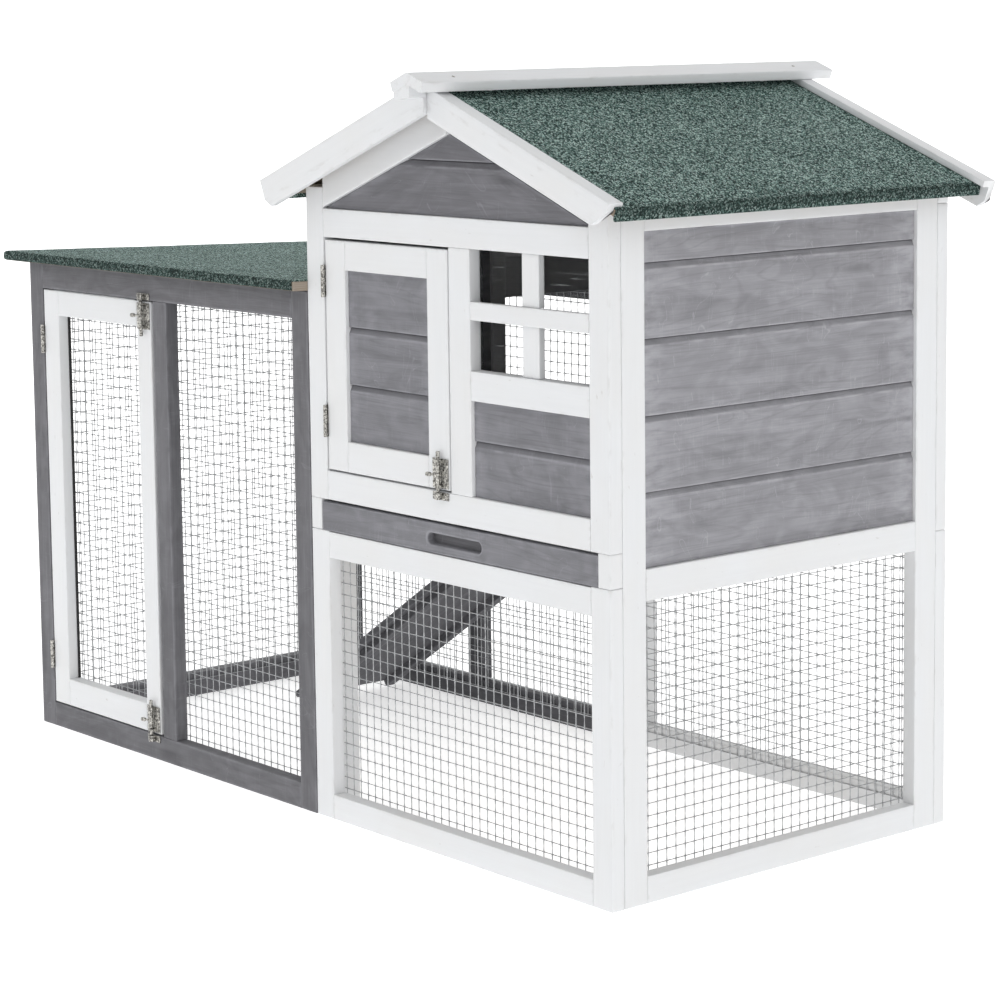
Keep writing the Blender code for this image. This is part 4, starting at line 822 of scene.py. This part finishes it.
def barge_board(hand, word, end, inward):
    """L-shaped verge board: a leg that hangs over the end of the roof and a flange over the felt. Each
    point of the section runs from the plumb cut at the ridge to the square cut at the eave, whose lower
    corner is clipped level."""
    node = "barge_%s_%s" % (end, word)
    low, high = span(node)
    face = low[1] if end == "front" else high[1]
    leg = face + inward * BARGE_LEG
    edge = high[1] if end == "front" else low[1]
    foot = BARGE_FLANGE - BARGE_DEPTH + BARGE_FOOT.get(node, 0.0)
    top = BARGE_FLANGE + BARGE_TOP.get(node, 0.0)
    clip_h = BARGE_CUT.get(node, BARGE_CLIP)
    under = 0.0003
    outline = [(face, foot), (face, foot + clip_h), (face, top), (edge, top), (edge, under), (leg, under),
               (leg, foot + clip_h), (leg, foot)]
    out = max(abs(low[0] - RIDGE_X), abs(high[0] - RIDGE_X))
    end_run = out - top * slope_sin - BARGE_SHORT.get(node, 0.0)

    def place(u, v, t):
        start = 0.0004 - v * slope_sin
        clip = np.clip((foot + clip_h - v) / clip_h, 0, 1) * clip_h / math.tan(math.radians(52))
        stop = end_run - clip
        run = start + (stop - start) * t
        return (RIDGE_X + hand * (run + v * slope_sin), u, FELT_PEAK - ROOF_SLOPE * run + v * slope_cos)
    made = [moulding(outline, place, np.linspace(0, 1, 14), 0.0012)]
    piece("barge_board_%s_%s" % (end, word), made, WHITE, "hutch", [node])


# ---------------------------------------------------------------- run
def run_walls():
    y0, y1 = run_low[1], run_high[1]
    left, right = RUN_L + RUN_STILES[0], RUN_R - RUN_STILES[1]
    post_l, post_r = RUN_L + RUN_POST[0], RUN_L + RUN_POST[1]
    top = run_high[2]
    rows = [(RUN_L, left, 0.0, top, "up"), (right, RUN_R, 0.0, top, "up"),
            (left, right, RUN_HEAD, top, "level"), (left, right, 0.0, RUN_FOOT, "level"),
            (post_l, post_r, RUN_FOOT, RUN_HEAD, "up")]
    piece("run_front_boards", members(1, y0, y1, rows), GREY_RUN, "hutch", ["run_front_frame"])
    low, high = span("run_back_frame")
    rows = [(RUN_L, left, 0.0, high[2], "up"), (right, RUN_R, 0.0, high[2], "up"),
            (left, right, RUN_SIDE_HEAD, high[2], "level"), (left, right, 0.0, RUN_FOOT, "level"),
            (post_l, post_r, RUN_FOOT, RUN_SIDE_HEAD, "up")]
    piece("run_back_boards", members(1, low[1], high[1], rows), GREY_PAINTED_SHADE, "hutch", ["run_back_frame"])
    low, high = span("run_end_frame")
    a, b = low[1] + STILE_W, high[1] - STILE_W
    made = []
    for p, q in ((low[1], a), (b, high[1])):
        made.append(board((low[0], p, 0), (high[0], q, float(run_under(q)) - 0.0006), 2))
    made.append(board((low[0], a + SEAM, RUN_SIDE_HEAD), (high[0], b - SEAM, 0), 1, EDGE,
                      lambda s: RUN_SIDE_HEAD + 0 * s, lambda s: run_under(s) - 0.0006))
    made.append(board((low[0], a + SEAM, 0), (high[0], b - SEAM, RUN_FOOT), 1))
    piece("run_end_boards", made, GREY_RUN, "hutch", ["run_end_frame"])


def run_roof():
    """Felt folded down over the front, left and back edges of the run's board: a closed slab whose top falls
    away near those three edges by the height of a quarter circle, and whose underside lies under it."""
    low, high = span("run_roof_felt")
    x0, x1, y0, y1 = low[0], high[0], low[1], high[1]
    thick, roll = RUN_FELT_T, RUN_FELT_ROLL
    close = np.array([0, 0.0004, 0.0012, 0.0025, 0.0046, 0.009])     # sections near a rolled edge
    m = np.concatenate([close, np.linspace(0.02, x1 - x0 - 0.01, 30), [x1 - x0]])
    n = np.concatenate([close, np.linspace(0.02, y1 - y0 - 0.02, 30), (y1 - y0) - close[::-1]])
    xx, yy = np.meshgrid(x0 + m, y0 + n, indexing="ij")

    def drop(d):
        """Fall of the surface at distance d from a rolled edge."""
        d = np.clip(d, 0, roll)
        return roll - np.sqrt(np.maximum(roll ** 2 - (roll - d) ** 2, 0))
    near = np.minimum(np.minimum(xx - x0, yy - y0), y1 - yy)
    ripple = 0.00025 * np.sin(xx * 37 + yy * 11) * np.sin(yy * 29) + 0.00015 * np.sin(xx * 83)
    plane = run_under(yy) + thick
    zt = plane - drop(near) - 0.0003 + ripple * (near > 0.004) - 0.0002
    zb = plane - thick + drop(near) * 0.55
    shape = xx.shape
    grid_top = np.stack([xx, yy, zt], -1)
    grid_low = np.stack([xx, yy, np.minimum(zb, zt - 0.0004)], -1)
    count = xx.size
    index = np.arange(count).reshape(shape)
    quads = np.stack([index[:-1, :-1], index[1:, :-1], index[1:, 1:], index[:-1, 1:]], -1).reshape(-1, 4)
    rim = np.concatenate([index[:-1, 0], index[-1, :-1], index[:0:-1, -1], index[0, :0:-1]])
    ahead = np.roll(rim, -1)
    wall = np.stack([rim, ahead, ahead + count, rim + count], -1)
    faces = quads.tolist() + (quads[:, ::-1] + count).tolist() + wall.tolist()
    points = np.concatenate([grid_top.reshape(-1, 3), grid_low.reshape(-1, 3)])
    # the underside is let in above the board, so that the board's own face shows from below
    # painted shade: the felt's rolled edges and its whole underside are marked to be darkened
    dark = np.clip(1.25 - near / 0.004, 0, 1).ravel()
    piece("run_felt", [(points, faces, points, np.concatenate([dark, np.ones(count)]))], FELT, "hutch",
          ["run_roof_felt"])


# ---------------------------------------------------------------- doors
def doors():
    for node, body, stiles, rails in (("house_door_frame", "house_door", DOOR_STILES, DOOR_RAILS),
                                      ("run_door_frame", "run_door", RUN_DOOR_STILES, RUN_DOOR_RAILS)):
        low, high = span(node)
        a, b = low[0] + stiles[0], high[0] - stiles[1]
        rows = [(low[0], a, low[2], high[2], "up"), (b, high[0], low[2], high[2], "up"),
                (a, b, low[2], low[2] + rails[0], "level"), (a, b, high[2] - rails[1], high[2], "level")]
        piece(node.replace("_frame", "_boards"), members(1, low[1], high[1], rows), WHITE, body, [node])
    low, high = span("run_door_frame")
    inner = low[0] + RUN_DOOR_STILES[0]
    # painted shadow: a near-black strip along the inside of the door's left stile, where the gap by the wire
    # is in shade
    shadow_gap_strip = board((inner + 0.0001, high[1] - 0.0042, low[2] + RUN_DOOR_RAILS[0]),
                 (inner + 0.0018, high[1] - 0.0002, high[2] - RUN_DOOR_RAILS[1]), 2, 0.0005)
    piece("run_door_painted_shadow_strip", [shadow_gap_strip], SHADOW_STRIP, "run_door", ())
    strip = board((low[0] + 0.026, low[1] + 0.0004, high[2] + 0.0002),
                  (high[0] - 0.036, low[1] + 0.0030, high[2] + 0.0010), 0, 0.0003)
    piece("run_door_top_strip", [strip], SHEET, "run_door")
    piece("house_door_shiplap", plank_wall("house_door_planks", 1, -1, DOOR_SEAMS), GREY, "house_door",
          ["house_door_planks"])


def wire_panels():
    for node, plane, body in (("front_lower_mesh", 1, "hutch"), ("back_lower_mesh", 1, "hutch"),
                              ("right_side_mesh", 0, "hutch"), ("run_front_mesh", 1, "hutch"),
                              ("run_back_mesh", 1, "hutch"), ("run_end_mesh", 0, "hutch"),
                              ("run_door_mesh", 1, "run_door")):
        piece(node.replace("_mesh", "_wires"), wire_sheet(*span(node), plane), WIRE, body, [node], sharp=80)


# ---------------------------------------------------------------- tray, ramp, hardware
def tray():
    """The front board is one ring-shaped body: sections that grow from its rim over the face to the finger
    slot, through it and back. The pan is a rounded rectangle carried down, over its floor and up again."""
    low, high = span("tray_front")
    mid_x, mid_z = (low[0] + high[0]) / 2 + 0.0025, (low[2] + high[2]) / 2 - 0.001
    half, radius = FINGER_HALF, FINGER_R
    bend, flat = 15, 12
    t = np.radians(np.linspace(-90, 90, bend))
    u = np.linspace(1, -1, flat + 2)[1:-1]
    slot = np.concatenate([np.stack([half + radius * np.cos(t), radius * np.sin(t)], -1),
                           np.stack([u * half, 0 * u + radius], -1),
                           np.stack([-half - radius * np.cos(t), -radius * np.sin(t)], -1),
                           np.stack([-u * half, 0 * u - radius], -1)])
    x0, x1, z0, z1 = low[0] - mid_x, high[0] - mid_x, low[2] - mid_z, high[2] - mid_z
    rise = np.linspace(0, 1, bend)
    run = np.linspace(1, 0, flat + 2)[1:-1]
    rim = np.concatenate([np.stack([0 * rise + x1, z0 + (z1 - z0) * rise], -1),
                          np.stack([x0 + (x1 - x0) * run, 0 * run + z1], -1),
                          np.stack([0 * rise + x0, z1 - (z1 - z0) * rise], -1),
                          np.stack([x1 - (x1 - x0) * run, 0 * run + z0], -1)])
    centre = rim * 0 + np.array([(x0 + x1) / 2, (z0 + z1) / 2])
    inset = np.sign(rim - centre) * (np.abs(rim - centre) > np.array([(x1 - x0) / 2, (z1 - z0) / 2]) - 1e-6)
    e = EDGE
    beyond = np.sign(slot[:, 0]) * np.maximum(np.abs(slot[:, 0]) - half, 0)
    outward = np.stack([beyond, slot[:, 1]], -1) / radius
    front, back = low[1], high[1]
    steps = [(rim, front + e), (rim - inset * e * 0.3, front + e * 0.3), (rim - inset * e, front),
             (rim - inset * 0.0019, front), (slot + outward * 0.0035, front),
             (slot + outward * 0.0018, front + 0.0002), (slot + outward * 0.0005, front + 0.0009),
             (slot, front + 0.0022), (slot, back), (rim, back)]
    grid = np.stack([np.stack([mid_x + p[:, 0], np.full(len(p), y), mid_z + p[:, 1]], -1) for p, y in steps])
    wear = np.array([1, 1, 1, 0, 0, 1, 1, 0, 0, 0.0])[:, None]
    piece("tray_front_board", [ringed(grid, shuffled(grid), wear, capped=False)], GREY, "tray",
          ["tray_front"])
    backing = board((mid_x - 0.056, back - 0.0008, mid_z - 0.009),
                    (mid_x + 0.056, back + 0.0004, mid_z + 0.009), 0, 0.0003)
    piece("tray_slot_backing", [backing], GREY_RUN, "tray")
    low, high = span("tray_pan")
    centre = (low + high) / 2
    half = (high - low) / 2
    turn = np.radians(np.arange(4)[:, None] * 90 + np.linspace(0, 90, 7)[None])
    sign = np.stack([CORNER_A, CORNER_B], -1)[:, None]
    corner, sheet = PAN_CORNER, PAN_T
    core = np.broadcast_to(sign * (half[:2] - corner), (4, 7, 2)).reshape(-1, 2)
    spoke = np.stack([np.cos(turn), np.sin(turn)], -1).reshape(-1, 2)
    floor_z, rim_z = low[2], high[2]
    rows = [(0.001, floor_z), (corner - 0.002, floor_z), (corner - 0.0007, floor_z + 0.0008),
            (corner - 0.0003, floor_z + 0.003), (corner - 0.0015, rim_z - 0.003),
            (corner - 0.0003, rim_z - 0.0022), (corner - 0.0003, rim_z - 0.0007), (corner - 0.0012, rim_z),
            (corner - 0.0022, rim_z - 0.0006), (corner - 0.0026, rim_z - 0.0024),
            (corner - 0.0015 - sheet, floor_z + 0.004), (corner - 0.004, floor_z + sheet + 0.0006),
            (0.001, floor_z + sheet)]
    grid = np.stack([np.column_stack([centre[:2] + core + spoke * r, np.full(len(core), z)])
                     for r, z in rows])
    ribs = []
    for y in np.linspace(low[1] + 0.08, high[1] - 0.08, 5):
        ribs.append(board((low[0] + 0.05, y - 0.004, floor_z + sheet * 0.4),
                          (high[0] - 0.05, y + 0.004, floor_z + sheet + 0.0012), 0, 0.0007))
    piece("tray_pan_sheet", [ringed(grid, grid, np.zeros(1))] + ribs, SHEET, "tray", ["tray_pan"])


def ramp():
    """The ramp's two boards with cleats across them and battens below, laid out flat and turned about the
    hinge by the angle at which the foot touches the ground."""
    joint = next(j for j in frame["joints"] if j["name"] == "ramp_hinge")
    hinge = np.array(joint["pos_m"])
    low, high = span("ramp_board")
    start, thick, cleat = RAMP_START, RAMP_T, RAMP_CLEAT
    end = start + RAMP_LENGTH
    drop = thick + RAMP_BATTEN
    reach = math.hypot(end, drop)
    angle = math.asin((hinge[2] - 0.0006) / reach) - math.atan2(drop, end)
    ca, sa = math.cos(angle), math.sin(angle)

    def laid(part):
        points, faces, grain, wear = part
        s, y, n = points[:, 0], points[:, 1], points[:, 2]
        return np.stack([hinge[0] - s * ca - n * sa, y, hinge[2] - s * sa + n * ca], -1), faces, grain, wear
    y0, y1 = low[1], high[1]
    planks = np.linspace(y0, y1, 3)
    made = []
    for a, b in zip(planks, planks[1:]):
        made.append(laid(board((start, a + SEAM, -thick), (end, b - SEAM, 0.0), 0)))
    for a, b in ((y0 + 0.013, y0 + 0.028), (y1 - 0.028, y1 - 0.013)):
        made.append(laid(board((start + 0.02, a, -drop), (end - 0.0004, b, -thick + 0.0002), 0)))
    pitch = (RAMP_LENGTH - 0.03) / RAMP_CLEATS
    for k in range(RAMP_CLEATS):
        s = start + 0.035 + k * pitch
        made.append(laid(board((s, y0 + 0.014, -0.0002), (s + 0.010, y1 - 0.014, cleat), 1, 0.0012)))
    piece("ramp_boards", made, GREY_PAINTED_SHADE, "ramp", ["ramp_board"])
    heads = []
    for k in range(RAMP_CLEATS):
        s = start + 0.040 + k * pitch
        for y in (y0 + 0.026, y1 - 0.026):
            points, faces, grain, wear = screw_head((0, 0, 0), (0, 0, 1), 0.002, 0.0006)
            heads.append(laid((points + np.array([s, y, cleat - 0.0002]), faces, grain, wear)))
    piece("ramp_cleat_screws", heads, ZINC, "ramp")


def bolt(node, door_body, rod_body, way):
    """Barrel bolt: pressed plate with two raised ribs, two straps over the rod, four screws and a side knob.
    """
    low, high = span(node + "_plate")
    rod_low, rod_high = span(node + "_rod")
    keep_low, keep_high = span(node + "_keeper")
    x = (low[0] + high[0]) / 2
    back = high[1]
    face = back - BOLT_PLATE
    rod_r = ROD_R
    rod_y = face - 0.0006 - rod_r - 0.0002
    out_y = low[1]

    def strap(z0, z1):
        """A strap over the rod: a half ring between two feet, as a section carried over an arch."""
        inner, outer = rod_r + 0.0005, rod_y - out_y
        turn = np.linspace(0, math.pi, 13)
        arch = np.stack([np.cos(turn), -np.sin(turn)], -1)
        legs = np.array([[1.0, (face - rod_y) / outer], [-1.0, (face - rod_y) / outer]])
        path = np.concatenate([legs[:1], arch, legs[1:]])
        rows = []
        for r, z in ((outer, z0), (outer, z1), (inner, z1), (inner, z0)):
            scaled = path * r
            scaled[[0, -1], 1] = face - rod_y
            rows.append(np.stack([x + scaled[:, 0], rod_y + scaled[:, 1], np.full(len(path), z)], -1))
        grid = np.stack(rows, 1)
        return ringed(grid, grid, np.zeros(1))

    z0, z1 = low[2], high[2]
    made = [board((low[0], face, z0), (high[0], back, z1), 2, 0.0004)]
    made += [strap(z0 + 0.001, z0 + 0.0045), strap(z1 - 0.0045, z1 - 0.001)]
    for sx in (-1, 1):
        for z in (z0 + 0.0062, z1 - 0.0062):
            made.append(screw_head((x + sx * BOLT_SCREW, face, z), (0, -1, 0)))
        rib = x + sx * 0.0052
        made.append(board((rib - 0.0009, face - 0.0008, z0 + 0.0055), (rib + 0.0009, face, z1 - 0.0055),
                          2, 0.0004))
    piece(node + "_pressing", made, ZINC, door_body, [node + "_plate"], sharp=35)
    made = [board((low[0], face, keep_low[2]), (high[0], back, keep_high[2]), 0, 0.0004)]
    near, far = (0.001, 0.0004) if way < 0 else (0.0004, 0.001)
    k0, k1 = keep_low[2] + near, keep_high[2] - far
    made.append(strap(k0, k1))
    for sx in (-1, 1):
        made.append(screw_head((x + sx * BOLT_SCREW, face, (keep_low[2] + keep_high[2]) / 2), (0, -1, 0)))
    piece(node + "_keep", made, ZINC, "hutch", [node + "_keeper"], sharp=35)
    length = rod_high[2] - rod_low[2]
    ends = [(0.0012, 0.0), (0.0020, 0.0003), (rod_r, 0.0010), (rod_r, length - 0.0010),
            (0.0020, length - 0.0003), (0.0012, length)]
    knob_z = z1 - 0.016 if way > 0 else z0 + 0.016
    stem = [(0.0014, -0.001), (0.0014, 0.0085), (0.0020, 0.0092), (0.0026, 0.0105), (0.0027, 0.0130),
            (0.0024, 0.0150), (0.0014, 0.0159), (0.0004, 0.0160)]
    made = [turned(ends, (x, rod_y, rod_low[2]), (0, 0, 1)),
            turned(stem, (x, rod_y - 0.0004, knob_z), (-0.94, -0.3412, 0), 16)]
    piece(node + "_bar", made, ZINC, rod_body, [node + "_rod"], sharp=35)


def hardware():
    bolt("house_door_bolt", "house_door", "house_bolt", -1)
    bolt("run_door_bolt_top", "run_door", "run_bolt_top", 1)
    bolt("run_door_bolt_low", "run_door", "run_bolt_low", -1)
    leaves = [n for n in frame["nodes"] if n.endswith("_leaf")]
    repaint(ZINC, *leaves)


# ---------------------------------------------------------------- studio
def studio():
    floor_mesh = bpy.data.meshes.new("floor")
    t = np.linspace(0, 1, 40)
    reach, back = 14.0, 7.0
    bend = np.radians(90 * t)
    y = np.concatenate([[-9.0, 0.0, back - 3.0], back - 3.0 + 3.0 * np.sin(bend[1:]), [back]])
    z = np.concatenate([[0.0, 0.0, 0.0], 3.0 - 3.0 * np.cos(bend[1:]), [9.0]])
    x = np.array([-reach, reach])
    points = np.stack([np.repeat(x, len(y)), np.tile(y, 2), np.tile(z, 2)], -1)
    k = np.arange(len(y) - 1)
    faces = np.stack([k, k + len(y), k + len(y) + 1, k + 1], -1).tolist()
    turn = math.radians(50.5)
    spin = np.array([[math.cos(turn), math.sin(turn), 0], [-math.sin(turn), math.cos(turn), 0], [0, 0, 1]])
    floor_mesh.from_pydata(points @ spin, [], faces)
    floor_mesh.shade_smooth()
    floor_mesh.materials.append(studio_floor("pale_floor"))
    floor = bpy.data.objects.new("studio_floor", floor_mesh)
    bpy.context.scene.collection.objects.link(floor)

    def soft_light(name, towards, strength, spread):
        """A broad even light that shines from a direction."""
        data = bpy.data.lights.new(name, "SUN")
        data.energy, data.angle = strength, math.radians(spread)
        thing = bpy.data.objects.new(name, data)
        thing.rotation_euler = Vector(towards).to_track_quat("Z", "Y").to_euler()
        bpy.context.scene.collection.objects.link(thing)
    soft_light("key", (-0.35, -0.80, 0.75), 0.62, 50)
    soft_light("top", (0.1, -0.1, 1.0), 0.30, 70)
    soft_light("side", (0.85, -0.25, 0.55), 0.97, 60)
    world = bpy.data.worlds.new("studio") if not bpy.data.worlds else bpy.data.worlds[0]
    bpy.context.scene.world = world
    world.use_nodes = True
    ground = world.node_tree.nodes["Background"]
    ground.inputs["Color"].default_value = (1.0, 1.0, 1.0, 1.0)
    ground.inputs["Strength"].default_value = 0.29
    bpy.context.scene.view_settings.view_transform = "Standard"


def camera():
    """Long lens from the right front, a little above the ridge, with the picture shifted and not the aim."""
    yaw, pitch, roll = 0.8822, 0.1216, -0.0131
    fwd = np.array([-math.sin(yaw) * math.cos(pitch), math.cos(yaw) * math.cos(pitch), -math.sin(pitch)])
    right = np.array([math.cos(yaw), math.sin(yaw), 0.0])
    up = np.cross(right, fwd)
    r = math.cos(roll) * right + math.sin(roll) * up
    u = -math.sin(roll) * right + math.cos(roll) * up
    data = bpy.data.cameras.new("camera")
    data.sensor_width, data.lens = 36.0, 104.52
    data.shift_x, data.shift_y = 0.0366, -0.1308
    data.clip_start, data.clip_end = 0.05, 60.0
    thing = bpy.data.objects.new("camera", data)
    matrix = np.eye(4)
    matrix[:3, 0], matrix[:3, 1], matrix[:3, 2] = r, u, -fwd
    matrix[:3, 3] = (2.8129, -2.3087, 0.9618)
    thing.matrix_world = Matrix(matrix.tolist())
    bpy.context.scene.collection.objects.link(thing)
    bpy.context.scene.camera = thing


camera()
studio()
house_front()
window()
house_sides()
house_back()
house_roof()
run_walls()
run_roof()
doors()
wire_panels()
tray()
ramp()
hardware()
